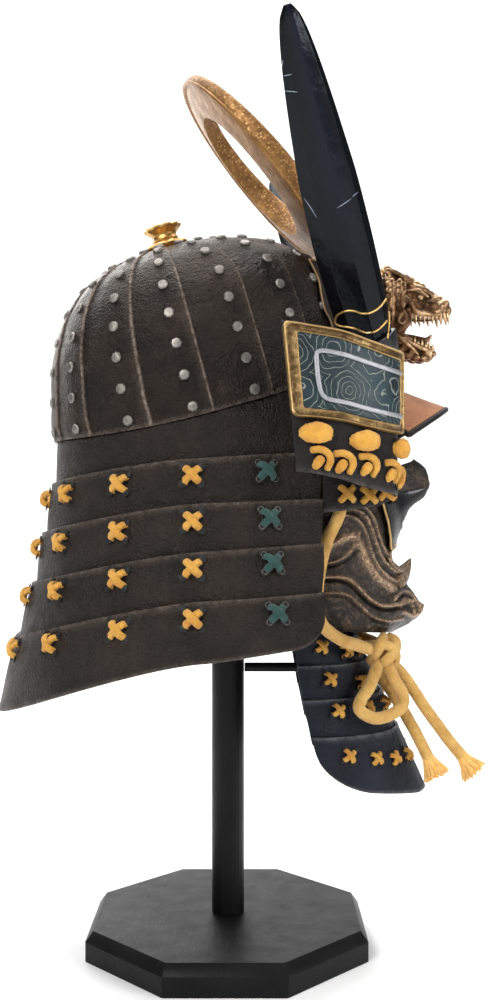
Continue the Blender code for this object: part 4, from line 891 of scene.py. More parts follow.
def make_neck():
    first = NECK_EDGES[0]
    rows = [[] for _ in range(14)]
    for turn in neck_turns(front_turn(first)):
        top = rim_point(turn) - Vector((0.0, 0.0, 0.0006))
        hidden = edge_point(first, turn, LEATHER + 0.0005)
        for i in range(12):
            rows[i].append(top.lerp(hidden, i / 11))
        rows[12].append(hidden - Vector((0.0, 0.0, 0.004)))
        rows[13].append(hidden - Vector((0.0, 0.0, 0.008)))
    rows = uneven(rows, 0.030, 0.0008, 1.0)
    wall("neck_band_hide", rows, LEATHER, HIDE, offset=1.0, replaces=("neck_band",),
         wear_and_sheen=[0.0] * (14 * 150))
    for k, (top, low) in enumerate(zip(NECK_EDGES, NECK_EDGES[1:])):
        last = k == len(NECK_EDGES) - 2
        inset = 0.0 if last else LEATHER + 0.0006
        starts = (front_turn(top), front_turn(low))
        rows, wear_and_sheen = [[] for _ in range(16)], []
        for upper, lower in zip(neck_turns(starts[0]), neck_turns(starts[1])):
            head, foot = edge_point(top, upper), edge_point(low, lower, inset)
            if last:
                from_front = min(lower - starts[1], 2 * pi - starts[1] - lower)
                near = max(0.0, 1 - from_front * NECK_WIDTH / NECK_CORNER)
                rise = NECK_CORNER * (1 - sqrt(max(0.0, 1 - near ** 2)))
                tail = foot.lerp(head, rise / (head.z - foot.z))
            else:
                tail = foot + (foot - head) / (head.z - foot.z) * 0.008
            out = Vector((head.x - NECK_X, head.y, 0.0)).normalized()
            for i in range(16):
                t = i / 15
                bulge = 0.0012 * sin(pi * min(1.0, t * 1.2)) + 0.0010 * exp(-(t / 0.05) ** 2)
                rows[i].append(head.lerp(tail, t) + out * bulge)
        rows = uneven(rows, 0.034, 0.0009, 2.0 + k)
        for i in range(16):
            wear_and_sheen += [1.0 if i == 0 else 0.35 if i == 1 else 0.9 if last and i == 15 else 0.0] * 150
        wall(f"neck_lame_{k + 1}_hide", rows, LEATHER, HIDE, offset=1.0, bevel=0.0007,
             replaces=(f"neck_lame_{k + 1}",), wear_and_sheen=wear_and_sheen)


# Turns of the laced crosses round each lame, in degrees from straight ahead, and their drop
CROSS_TURNS = ((70.8, 94.6, 119.4, 145.4, 170.5), (71.0, 94.0, 117.6, 143.3, 168.5),
               (71.4, 93.6, 115.4, 139.6, 165.0), (71.8, 93.1, 112.7, 135.8, 160.2, 180.0))
CROSS_DROPS = (0.0128, 0.0130, 0.0118, 0.0122)


def make_neck_lacing():
    yellow, green, holes, edges = Soup(), Soup(), Soup(), Soup()
    rims = eyelet_rims(0.0064, 0.0022)
    cross, eyelet = cross_lacing(0.0055, 0.0061, 0.0020), eyelets(0.0071, 0.0025)
    cross.fuzz(0.00070, 0.0020)
    for k, (top, low) in enumerate(zip(NECK_EDGES, NECK_EDGES[1:])):
        for j, degrees in enumerate(CROSS_TURNS[k]):
            for side in (-1, 1) if degrees < 180 else (1,):
                turn = side * radians(degrees)
                head, foot = edge_point(top, turn), edge_point(low, turn)
                spot = head.lerp(foot, CROSS_DROPS[k] / (head.z - foot.z))
                ahead = edge_point(top, turn + 0.02).lerp(edge_point(low, turn + 0.02), 0.4)
                behind = edge_point(top, turn - 0.02).lerp(edge_point(low, turn - 0.02), 0.4)
                normal = (ahead - behind).cross(head - foot).normalized()
                if normal.dot(Vector((spot.x - NECK_X, spot.y, 0))) < 0:
                    normal = -normal
                matrix = frame_at(spot + normal * 0.0012, normal)
                (green if j == 0 else yellow).placed(cross, matrix)
                holes.placed(eyelet, matrix)
                if j == 0:
                    edges.placed(rims, matrix)
    yellow.make("neck_lacing_yellow", YELLOW, "chin_cord_right")
    green.make("neck_lacing_green", GREEN, "neck_lame_1")
    holes.make("neck_lacing_eyelets", EYELET_SHADE, "neck_lame_1")
    edges.make("neck_lacing_eyelet_edges", RIM, "neck_lame_1")


make_neck()
make_neck_lacing()

# ---------------------------------------------------------------- wings
WING_X, WING_Y, WING_LENGTH, WING_SPREAD = 0.0750, 0.0868, 0.0565, 0.0467
WING_Z, WING_HEIGHT, WING_LEATHER, WING_SLANT = 0.3646, 0.1420, 0.0025, 0.0112
WING_FOLDS = (
    (0.000, 0.000, 0.000, 0.660), (0.270, -0.050, 0.010, 0.720), (0.560, -0.105, 0.025, 0.790),
    (0.800, -0.130, 0.045, 0.840), (0.950, -0.080, 0.070, 0.860), (1.000, 0.050, 0.090, 0.868),
    (0.960, 0.250, 0.098, 0.872), (0.780, 0.500, 0.115, 0.885), (0.500, 0.720, 0.140, 0.915),
    (0.150, 0.890, 0.175, 0.955), (-0.270, 0.980, 0.205, 0.980), (-0.595, 1.000, 0.215, 1.000),
)
FACE_START = 5
FRAME_FOOT = (0.425, 0.360)
BORDER, REAR_BORDER = 0.0072, 0.0115


def wing_uprights(side, count):
    """x, y, foot, top and slant along a wing, from its inner end to its free edge."""
    plan = []
    rear = WING_FOLDS[-1][0]
    for along, out, foot, top in WING_FOLDS:
        lean = max(0.0, (0.5 - along) / (0.5 - rear)) if out > 0.5 else 0.0
        plan.append((WING_X + WING_LENGTH * along, side * (WING_Y + WING_SPREAD * out), 0.0,
                     WING_Z + WING_HEIGHT * foot, WING_Z + WING_HEIGHT * top, WING_SLANT * lean))
    return smooth_path(plan, count)


def on_upright(up, z):
    below = (up[4] - z) / (up[4] - up[3])
    return Vector((up[0] + up[5] * below, up[1], z))


class WingFace:
    """The outer leaf's face: metres back from the front fold, and a share or height up it."""

    def __init__(self, side):
        self.side = side
        line = wing_uprights(side, 240)
        start = min(range(240), key=lambda i: abs(line[i][0] - (WING_X + WING_LENGTH)))
        self.line = line[start:]
        self.lengths = [0.0]
        for a, b in zip(self.line, self.line[1:]):
            self.lengths.append(self.lengths[-1] + hypot(b[0] - a[0], b[1] - a[1]))
        self.total = self.lengths[-1]

    def upright(self, s):
        s = min(max(s, 0.0), self.total)
        i = min(len(self.line) - 2, max(0, int(np.searchsorted(self.lengths, s)) - 1))
        part = (s - self.lengths[i]) / (self.lengths[i + 1] - self.lengths[i])
        up = self.line[i] + (self.line[i + 1] - self.line[i]) * part
        along = self.line[min(i + 3, len(self.line) - 1)] - self.line[max(0, i - 3)]
        out = Vector((-along[1], along[0], 0.0)).normalized() * -self.side
        return up, out

    def spans(self, s):
        """Foot of the gold frame, and top, at a distance back."""
        up, _ = self.upright(s)
        share = FRAME_FOOT[0] + (FRAME_FOOT[1] - FRAME_FOOT[0]) * s / self.total
        return up[3] + (up[4] - up[3]) * share, up[4]

    def point(self, s, z, proud):
        up, out = self.upright(s)
        return on_upright(up, z) + out * (WING_LEATHER / 2 + proud)

    def at(self, s, share, proud):
        """A point of the framed part, at a share of its height."""
        low, high = self.spans(s)
        return self.point(s, low + (high - low) * share, proud)

    def find(self, u, v):
        """Distance back and height whose point the camera sees at a pixel; near side only."""
        best = None
        for i in range(101):
            s = self.total * i / 100
            for j in range(121):
                up, _ = self.upright(s)
                z = up[3] + (up[4] - up[3]) * j / 120
                a, b = seen_at(self.point(s, z, 0.0))
                miss = hypot(a - u, b - v)
                if best is None or miss < best[0]:
                    best = (miss, s, z)
        return best[1], best[2]


# Places on the near wing's flap, measured in the photograph, carried over to the far wing
BUNDLES = ((315.5, 432.5), (364.3, 441.2), (403.0, 448.6))
HOOKS = ((321.6, 458.5), (344.0, 462.7), (367.0, 465.5), (391.0, 471.0), (409.0, 477.4))
HOOK_PATH = ((-6.6, 6.3), (-0.6, 6.6), (4.6, 3.4), (6.3, -1.6), (4.6, -7.0))
KNOB_PATH = ((-4.4, -5.6), (-2.8, -3.2), (-1.0, -0.6))
# Laces seen on the near wing's inner leaf
INNER_LACES = ((346.8, 493.5), (368.5, 495.0), (388.0, 492.0))


def make_wings():
    near = WingFace(-1)
    bundle_spots = [near.find(*spot) for spot in BUNDLES]
    hook_spots = [near.find(*spot) for spot in HOOKS]
    for side, label in SIDES:
        ups = wing_uprights(side, 90)
        rows, wear_and_sheen = [], []
        for i in range(30):
            t = i / 29
            rows.append([on_upright(up, up[3] + (up[4] - up[3]) * t) for up in ups])
            wear_and_sheen += [0.9 if i in (0, 29) else 0.2 if i in (1, 28) else 0.0] * 90
        for row in rows:
            for j, p in enumerate(row):
                row[j] = p + Vector((rough(p, 0.03, 0.0006, 5), rough(p, 0.03, 0.0006, 9), 0))
        wall(f"wing_{label}_hide", rows, WING_LEATHER, BLACK_HIDE, offset=0.0,
             replaces=(f"wing_{label}",), wear_and_sheen=wear_and_sheen)
        face = WingFace(side)
        make_frame(face, label)
        make_panel(face, label)
        make_flap(face, label, bundle_spots, hook_spots)


def frame_ring(face, inset, proud, count=64):
    """A closed line of points round the frame at a share of its border's width."""
    total = face.total
    left, right = inset * BORDER * 0.8, total - inset * REAR_BORDER
    made = []
    round_corner = 0.0068 * (1 - inset * 0.7)
    for edge in range(4):
        for i in range(count):
            t = i / count
            if edge == 0:
                s, up = left + (right - left) * t, 0.0
            elif edge == 1:
                s, up = right, t
            elif edge == 2:
                s, up = right - (right - left) * t, 1.0
            else:
                s, up = left, 1.0 - t
            low, high = face.spans(s)
            z = low + inset * BORDER + (high - low - 2 * inset * BORDER) * up
            ds, dz = min(s - left, right - s), min(z - low - inset * BORDER, high - inset * BORDER - z)
            if ds < round_corner and dz < round_corner:
                pull = 1 - hypot(1 - ds / round_corner, 1 - dz / round_corner)
                if pull < 0:
                    s += (1 if s - left < right - s else -1) * -pull * round_corner * 0.7
                    z += (1 if z - low < high - z else -1) * -pull * round_corner * 0.7
            made.append(face.point(s, z, proud))
    return made


def make_frame(face, label):
    """A moulded frame: a rounded outer bead, a flat and a slope down to the panel."""
    profile = ((0.00, 0.0004), (0.00, 0.0030), (0.03, 0.0043), (0.11, 0.0052), (0.20, 0.0049), (0.28, 0.0037),
               (0.33, 0.0029), (0.40, 0.0028), (0.80, 0.0029), (0.88, 0.0034), (0.94, 0.0032), (1.00, 0.0018), (1.00, 0.0004))
    rings = [frame_ring(face, inset, proud) for inset, proud in profile]
    for ring in rings[1:-1]:
        for i, p in enumerate(ring):
            ring[i] = p + Vector((0, face.side, 0)) * (rough(p, 0.006, 0.0005, 3) + rough(p, 0.0022, 0.00022, 5))
    count = len(rings[0])
    verts = [p for ring in rings for p in ring]
    faces = grid_faces(len(rings), count, True)
    last = (len(rings) - 1) * count
    faces += [(last + j, last + (j + 1) % count, (j + 1) % count, j) for j in range(count)]
    made = Soup()
    made.add(verts, faces)
    made.make(f"wing_frame_{label}_moulding", OLD_GOLD, f"wing_frame_{label}", smooth=50,
              replaces=(f"wing_frame_{label}",), uv=False)


def make_panel(face, label):
    columns, lines = 80, 36
    left, right = BORDER * 0.75, face.total - REAR_BORDER * 0.97
    rows, uvs = [], []
    for i in range(lines):
        row = []
        for j in range(columns):
            s = left + (right - left) * j / (columns - 1)
            low, high = face.spans(s)
            z = low + BORDER * 0.96 + (high - low - 2 * BORDER * 0.96) * i / (lines - 1)
            row.append(face.point(s, z, 0.0024 + rough((s, z, 0), 0.012, 0.0004, 6)))
            uvs.append((s, z))
        rows.append(row)
    wall(f"wing_panel_{label}_lacquer", rows, 0.0018, TEAL,
         offset=1.0 if face.side < 0 else -1.0, uvs=uvs, bevel=0.0, replaces=(f"wing_panel_{label}",))
    # A bracket of silver, open to the front; distances back from the fold and shares of the height
    back = face.total - REAR_BORDER - 0.0125
    high, low = 0.735, 0.215
    path = [(BORDER * 0.8, high)] + [(back * t, high) for t in (0.2, 0.4, 0.6, 0.8, 0.93)]
    path += [(back - 0.001, high - 0.025), (back, high - 0.07), (back, (high + low) / 2), (back - 0.0015, low + 0.09),
             (back - 0.005, low + 0.02)]
    path += [(back * t, low) for t in (0.86, 0.7, 0.5, 0.3)] + [(BORDER * 0.8, low)]
    band = Soup()
    spots = smooth_path([(s, share * 0.05, 0.0) for s, share in path], 110)
    points = [face.at(s, share / 0.05, 0.0034) for s, share, _ in spots]
    frames = frames_along(points)
    rows = []
    for k, ((s, share, _), p) in enumerate(zip(spots, points)):
        up, out = face.upright(s)
        tangent = frames[k][0]
        across = out.cross(tangent).normalized()
        row = []
        for a, b in ((-0.0017, -0.0010), (-0.0016, 0.0003), (-0.0009, 0.0008), (0.0009, 0.0008), (0.0016, 0.0003),
                     (0.0017, -0.0010)):
            row.append(p + across * a + out * b)
        rows.append(row)
    verts = [p for row in rows for p in row]
    faces = grid_faces(len(rows), 6, True) + [tuple(range(6))[::-1], tuple((len(rows) - 1) * 6 + k for k in range(6))]
    band.add(verts, faces)
    band.make(f"wing_band_{label}_silver", SILVER, f"wing_panel_{label}", smooth=50, uv=False)


def flap_matrix(face, s, z, proud=0.0):
    """A frame on the flap whose X runs back on the near side, Y up and Z out."""
    spot = face.point(s, z, proud)
    _, out = face.upright(s)
    return frame_at(spot, out)


def make_flap(face, label, bundles, hooks):
    cords, holes = Soup(), Soup()
    flip = 1 if face.side < 0 else -1
    for k, (s, z) in enumerate(bundles):
        one = Soup()
        path = [(flip * x * 0.001, 0.0, h * 0.001) for x, h in ((-9.5, 1.0), (-8, 2.6), (-4, 3.8), (0, 4.2), (4, 3.8),
                                                               (8, 2.6), (9.5, 1.0))]
        one.tube(smooth_path(path, 30), 0.0077, 26, 0.66, Vector((0, 0, 1)), round_ends=6,
                 taper=[0.62 + 0.40 * sin(pi * i / 29) ** 0.7 for i in range(30)])
        one.fuzz(0.00095, 0.0024)
        matrix = flap_matrix(face, s, z)
        if k == 2:
            _, out = face.upright(s + 0.011)
            matrix = frame_at(face.point(s + 0.002, z, 0.0006), out) @ Matrix.Scale(0.74, 4, Vector((1, 0, 0)))
        cords.placed(one, matrix)
    for s, z in hooks:
        one = Soup()
        hook = smooth_path([(flip * x * 0.001, y * 0.001, h) for (x, y), h in
                            zip(HOOK_PATH, (0.0005, 0.0026, 0.0036, 0.0028, 0.0004))], 22)
        one.tube(hook, 0.0027, 14, 0.95, Vector((0, 0, 1)), round_ends=3)
        knob = smooth_path([(flip * x * 0.001, y * 0.001, h) for (x, y), h in
                            zip(KNOB_PATH, (0.0004, 0.0022, 0.0026))], 10)
        one.tube(knob, 0.0035, 14, 0.9, Vector((0, 0, 1)), round_ends=4,
                 taper=[0.85, 0.9, 0.95, 1.0, 1.02, 1.05, 1.06, 1.06, 1.04, 1.0])
        one.fuzz(0.00045)
        matrix = flap_matrix(face, s, z)
        cords.placed(one, matrix)
        # Dark discs of painted shade where the hooks pass into the flap.
        hole = Soup()
        for x, y in ((HOOK_PATH[-1]), (KNOB_PATH[0]), (HOOK_PATH[0])):
            hole.ball((flip * x * 0.001, (y - 0.6) * 0.001, 0.0001), (0.0034, 0.0032, 0.0005))
        holes.placed(hole, matrix)
    cross, eyelet = cross_lacing(0.0058, 0.0054, 0.0016), eyelets(0.0066, 0.0021)
    cross.fuzz(0.00040)
    near_line, own_line = wing_uprights(-1, 240), wing_uprights(face.side, 240)
    for spot in INNER_LACES:
        best = None
        for i in range(0, 110):
            up = near_line[i]
            for j in range(61):
                z = up[3] + (up[4] - up[3]) * j / 120
                a, b = seen_at(on_upright(up, z) - Vector((0.0, WING_LEATHER * 0.5, 0.0)))
                miss = hypot(a - spot[0], b - spot[1])
                if best is None or miss < best[0]:
                    best = (miss, i, z)
        _, i, z = best
        ahead, behind = own_line[min(i + 2, 239)], own_line[max(0, i - 2)]
        out = Vector((behind[1] - ahead[1], ahead[0] - behind[0], 0.0)).normalized() * face.side
        matrix = frame_at(on_upright(own_line[i], z) + out * WING_LEATHER * 0.5, out)
        cords.placed(cross, matrix)
        holes.placed(eyelet, matrix)
    cords.make(f"wing_lacing_{label}_yellow", YELLOW, "chin_cord_right")
    holes.make(f"wing_lacing_{label}_eyelets", EYELET_SHADE, f"wing_{label}")


make_wings()

# ---------------------------------------------------------------- peak
PEAK_TURN, PEAK_REACH, PEAK_FALL, PEAK_SIDE_FALL = radians(38), 0.0775, 0.029, 0.015
PEAK_THICK = 0.003


def peak_point(turn, share):
    root = rim_point(turn, 0.0014 + 0.0006)
    spread = turn / PEAK_TURN
    reach = PEAK_REACH * (1 - 0.10 * spread ** 2)
    fall = PEAK_FALL + PEAK_SIDE_FALL * spread ** 2
    out = Vector((reach * (1 - 0.10 * spread ** 2), 0.0, -fall))
    root.y *= 1 + 0.04 * share
    return root + out * share - Vector((0.0, 0.0, 0.002 * share * (1 - share)))


def make_peak():
    turns = [PEAK_TURN * (i / 40 - 1) for i in range(81)]
    rows, wear_and_sheen = [], []
    for i in range(26):
        rows.append([peak_point(turn, i / 25 * 0.985) for turn in turns])
        wear_and_sheen += [0.6 if i == 25 else 0.0] * 81
    wall("peak_hide", rows, PEAK_THICK, TAN_HIDE, offset=1.0, replaces=("peak",), wear_and_sheen=wear_and_sheen)
    rim = Soup()
    edge = [peak_point(turns[0], i / 14) for i in range(3, 15)]
    edge += [peak_point(turn, 1.0) for turn in turns[1:-1]]
    edge += [peak_point(turns[-1], i / 14) for i in range(14, 2, -1)]
    edge = [p - Vector((0, 0, PEAK_THICK * 0.6)) for p in edge]
    rim.tube(smooth_path(edge, 150), 0.0023, 12, 1.0, Vector((0, 0, 1)), round_ends=3)
    rim.make("peak_welt", BLACK_HIDE, "peak")
    under = [[p - Vector((0, 0, PEAK_THICK + 0.0002)) for p in row] for row in rows]
    wall("peak_lining", under, 0.0008, BLACK_HIDE, offset=1.0, bevel=0.0, wear_and_sheen=[0.0] * (26 * 81))


make_peak()

# ---------------------------------------------------------------- crest plate, horns, sockets
PLATE_X, PLATE_BOW, PLATE_THICK, PLATE_TOP = 0.128, 0.086, 0.003, 0.5716
HORN_FOOT, HORN_TIP = Vector((0.1110, 0.0690, 0.5046)), Vector((0.0435, 0.2045, 0.7078))
HORN_WIDTH, HORN_DEPTH, HORN_BOW = 0.046, 0.026, -0.001
SOCKET_WALL, SOCKET_HEIGHT = 0.0035, 0.022
HORN_TABLE = (
    (0.00, 0.88, 1.00, 0.00), (0.14, 0.97, 1.00, 0.50), (0.30, 1.00, 0.96, 0.90), (0.48, 0.96, 0.88, 1.00),
    (0.64, 0.83, 0.76, 0.85), (0.78, 0.68, 0.62, 0.60), (0.90, 0.50, 0.46, 0.30), (0.97, 0.32, 0.30, 0.10),
    (1.00, 0.12, 0.12, 0.00),
)
HORN_CORNERS = ((-1.00, 0.05), (-0.55, 0.62), (0.25, 1.00), (0.80, 0.45), (1.00, -0.10), (0.55, -0.55),
                (-0.15, -0.70), (-0.75, -0.40))


def horn_frame():
    along = (HORN_TIP - HORN_FOOT).normalized()
    across = Vector((1.0, 0.0, 0.0))
    across = (across - along * across.dot(along)).normalized()
    return along, across, across.cross(along)


def horn_ring(share, side, grow=0.0):
    columns = list(zip(*HORN_TABLE))
    width, depth, bow = (curve_at(columns[0], columns[k], share) for k in (1, 2, 3))
    along, across, out = horn_frame()
    centre = HORN_FOOT.lerp(HORN_TIP, share) + across * HORN_BOW * bow
    ring = []
    for u, w in HORN_CORNERS:
        point = centre + across * (HORN_WIDTH / 2 * width + grow) * u - out * (HORN_DEPTH / 2 * depth + grow) * w
        ring.append(Vector((point.x, point.y * side, point.z)))
    return ring


def make_horns():
    for side, label in SIDES:
        rings = [horn_ring(1 - (1 - i / 30) ** 1.3, side) for i in range(31)]
        made = Soup()
        faces = grid_faces(len(rings), 8, True) + [tuple(range(8))[::-1], tuple(30 * 8 + k for k in range(8))]
        made.add([p for ring in rings for p in ring], faces)
        # How much painted blue highlight each corner carries: most on the ridge, fading towards the right facet
        highlight_share = (0.0, 0.0, 0.95, 0.35, 0.10, 0.0, 0.0, 0.0)
        blue_highlight = [highlight_share[k % 8] * min(1.0, 0.25 + k / 240) for k in range(31 * 8)]
        horn = piece(f"horn_{label}_lacquer", made.verts, made.faces, HORN_BLACK, 30, None, blue_highlight,
                     (f"horn_{label}",))
        tidy(horn.data)
        edge = horn.modifiers.new("edge", "BEVEL")
        edge.width, edge.segments, edge.limit_method, edge.angle_limit = 0.0014, 3, "ANGLE", radians(14)
        along = horn_frame()[0]
        down = Vector((along.x, along.y * side, along.z)) * -1
        rings = []
        for share, grow in ((0.0, 0.4), (0.0, 0.85), (0.03, 1.0), (0.45, 1.0), (0.7, 0.75), (1.0, 0.2)):
            rings.append([p + down * (0.0003 + SOCKET_HEIGHT * share) for p in horn_ring(0.0, side, SOCKET_WALL * grow)])
        socket = Soup()
        faces = grid_faces(len(rings), 8, True) + [tuple(range(8))[::-1], tuple((len(rings) - 1) * 8 + k for k in range(8))]
        socket.add([p for ring in rings for p in ring], faces)
        made = socket.make(f"horn_socket_{label}_cast", BLACK_GLOSS, f"horn_socket_{label}", smooth=30,
                           replaces=(f"horn_socket_{label}",), uv=False)
        edge = made.modifiers.new("edge", "BEVEL")
        edge.width, edge.segments, edge.limit_method, edge.angle_limit = 0.0010, 2, "ANGLE", radians(14)


make_horns()

# Gold edging on the near horn's foot, by pixels of the photograph, mirrored to the far side
EDGINGS = (
    ((339, 326), (334, 320), (342, 312.5), (353, 311), (365, 314), (377.6, 308.7), (386, 299.5)),
    ((339, 326), (354.6, 328.6), (367, 333), (377.6, 330), (386.7, 321)),
    ((387.5, 299.5), (389, 319), (387.5, 338)),
)


def surface_hit(trees, u, v):
    """The first surface of some pieces that the camera sees at a pixel."""
    ray = (at_pixel(u, v, 0.0) - CAM).normalized()
    best = None
    for tree in trees:
        spot, normal, _, distance = tree.ray_cast(CAM, ray)
        if spot and (best is None or distance < best[1]):
            best = (spot, distance, normal)
    return (best[0], best[2]) if best else None


def tree_of(name):
    made = bpy.data.objects[name]
    verts = [v.co.copy() for v in made.data.vertices]
    return BVHTree.FromPolygons(verts, [tuple(p.vertices) for p in made.data.polygons])


def make_edgings():
    trees = [tree_of("horn_right_lacquer"), tree_of("horn_socket_right_cast")]
    made = Soup()
    for line in EDGINGS:
        fine = smooth_path([(u, v, 0.0) for u, v in line], 40)
        path = []
        for u, v, _ in fine:
            hit = surface_hit(trees, u, v)
            if hit:
                path.append(hit[0] - Vector((0, 0.0004, 0)))
        if len(path) > 4:
            path = smooth_path(path[::3] + [path[-1]], 40)
            for side in (-1, 1):
                made.tube([Vector((p[0], p[1] * -side, p[2])) for p in path], 0.0009, 8, round_ends=2)
    made.make("horn_foot_edging", GOLD, "horn_socket_right", uv=False)


make_edgings()

# Fine scratches in the near horn's lacquer, by pixels of the photograph
SCRATCHES = (
    ((280, 48), (277, 70), (275, 92)), ((275, 91.5), (286, 91), (298, 92)), ((276, 79), (284, 76), (292, 74)),
    ((304, 198), (311, 208), (317, 218)), ((337, 208), (345, 203), (352, 198)), ((352, 197), (358, 192)),
    ((283, 60), (279, 84)), ((306, 300), (312, 290)),
)


def make_scratches():
    trees = [tree_of("horn_right_lacquer")]
    made = Soup()
    for line in SCRATCHES:
        fine = smooth_path([(u, v, 0.0) for u, v in line], 16)
        path = [hit[0] + Vector((0, 0.00010, 0)) for hit in (surface_hit(trees, u, v) for u, v, _ in fine) if hit]
        if len(path) > 4:
            made.tube(path, 0.00030, 6, taper=[0.3 + 0.7 * sin(pi * i / (len(path) - 1)) for i in range(len(path))],
                      round_ends=1)
    made.make("horn_scratches", SCRATCH, "horn_right", uv=False)


make_scratches()


def peak_top_at(x, y):
    best, height = 1.0, 0.0
    for i in range(61):
        for j in range(41):
            point = peak_point(PEAK_TURN * (i / 30 - 1), j / 40)
            away = hypot(point.x - x, point.y - y)
            if away < best:
                best, height = away, point.z
    return height


def make_crest_plate():
    """The gold plate between the horns, cast with scales and a raised rim."""
    box_low, box_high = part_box("crest_plate")
    half = box_high.y
    columns, lines = 97, 61
    rows = [[] for _ in range(lines)]
    feet = [max(peak_top_at(PLATE_X + dx, half * (i / 12 - 1)) for dx in (-0.003, 0.003)) + 0.0008 for i in range(25)]
    for j in range(columns):
        y = half * (2 * j / (columns - 1) - 1)
        spread = abs(y) / half
        x = PLATE_X - PLATE_BOW + sqrt(PLATE_BOW ** 2 - y ** 2)
        place = (y / half + 1) * 12
        k = min(23, int(place))
        foot = feet[k] + (feet[k + 1] - feet[k]) * (place - k)
        top = PLATE_TOP - 0.040 * spread ** 1.5 - 0.006 * sin(pi * min(1.0, 2 * spread))
        for i in range(lines):
            t = i / (lines - 1)
            z = foot + (top - foot) * t
            rim = exp(-((1 - t) * (top - foot) / 0.0022) ** 2) + exp(-((half - abs(y)) / 0.0022) ** 2)
            row_size, column_size = 0.0085, 0.0100
            lane = z / row_size
            shift = 0.5 * (int(lane) % 2)
            a = ((y / column_size + shift) % 1.0) - 0.5
            b = (lane % 1.0) - 0.5
            scale_form = max(0.0, 1 - hypot(a, b * 0.8 + 0.1) * 2.0) ** 0.5
            rise = 0.0014 + 0.0018 * min(1.0, rim) + 0.0013 * scale_form * (1 - min(1.0, rim))
            rows[i].append(Vector((x + rise, y, z)))
    wall("crest_plate_scales", rows, 0.0030, OLD_GOLD, offset=-1.0, bevel=0.0005,
         replaces=("crest_plate",))


make_crest_plate()


def make_brow_plate():
    """A black plate with a gold edge, lying on the front of the bowl behind the crest."""
    rows, edge_left, edge_right = [], [], []
    lines, columns = 30, 60
    marks = []
    for u, v in ((330, 319.5), (324.0, 308.7), (321.0, 296), (317.6, 278.5), (313.2, 268), (308.5, 260)):
        best = None
        for i in range(150):
            for j in range(140):
                turn, height = radians(15 + i * 0.4), 0.018 + j * 0.00085
                a, b = seen_at(bowl_point(-turn, height, 0.004))
                miss = hypot(a - u, b - v)
                if best is None or miss < best[0]:
                    best = (miss, height, turn)
        marks.append(best[1:])
    marks.sort()
    heights, reaches = zip(*marks)
    for i in range(lines):
        t = i / (lines - 1)
        height = 0.022 + (heights[-1] - 0.022) * t
        reach = curve_at(heights, reaches, height)
        row = []
        for j in range(columns):
            turn = reach * (2 * j / (columns - 1) - 1)
            row.append(bowl_point(turn, height, 0.0026))
        rows.append(row)
        edge_left.append(bowl_point(-reach, height, 0.0044))
        edge_right.append(bowl_point(reach, height, 0.0044))
    wall("brow_plate", rows, 0.0016, BLACK_HIDE, offset=1.0, wear_and_sheen=[0.0] * (lines * columns))
    trim = Soup()
    over = [bowl_point(reaches[-1] * (1 - j / 10), heights[-1], 0.0044) for j in range(1, 20)]
    trim.tube(smooth_path(edge_right + over + edge_left[::-1], 160), 0.0007, 8, round_ends=2)
    trim.make("brow_plate_edging", DULL_GOLD, "crest_plate", uv=False)


make_brow_plate()

# ---------------------------------------------------------------- crest ring
RING_X, RING_Z, RING_LEAN, RING_RADIUS, RING_WIDTH = 0.0230, 0.6530, radians(40.3), 0.0942, 0.034
RING_TOP, RING_FOOT = 0.0070, 0.0165


def ring_world(x, y, z):
    return Vector((RING_X + x * cos(RING_LEAN) + z * sin(RING_LEAN), y,
                   RING_Z + x * sin(RING_LEAN) - z * cos(RING_LEAN)))


def ring_material():
    """Gold rubbed bright on the bead and the back, with brown spots in between."""
    g = Graph("ring_gold")
    spots = g.ramp(g.cells(330.0), ((0.18, 1.0), (0.34, 0.0)))
    blotch = g.noise(70.0, 6.0, 0.7)
    body = g.ramp(blotch, ((0.25, (0.15, 0.068, 0.022)), (0.50, (0.26, 0.130, 0.042)), (0.75, (0.37, 0.205, 0.072))))
    soiled = g.math("MULTIPLY", g.attribute("wear_and_sheen"), g.ramp(g.noise(210.0, 6.0, 0.7), ((0.40, 0.0), (0.60, 1.0))))
    body = g.mix(g.math("MULTIPLY", soiled, 0.85), body, (0.135, 0.060, 0.020))
    body = g.mix(g.math("MULTIPLY", g.math("MULTIPLY", spots, g.attribute("wear_and_sheen")), 0.5), body, (0.70, 0.45, 0.17))
    g.link(body, "Base Color")
    g.link(g.ramp(blotch, ((0.3, 0.55), (0.7, 0.36))), "Roughness")
    g.bump(((g.noise(180.0, 5.0, 0.65), 0.0008), (g.cells(420.0), 0.0003)))
    return g.set(Metallic=0.6, Specular_IOR_Level=0.3)


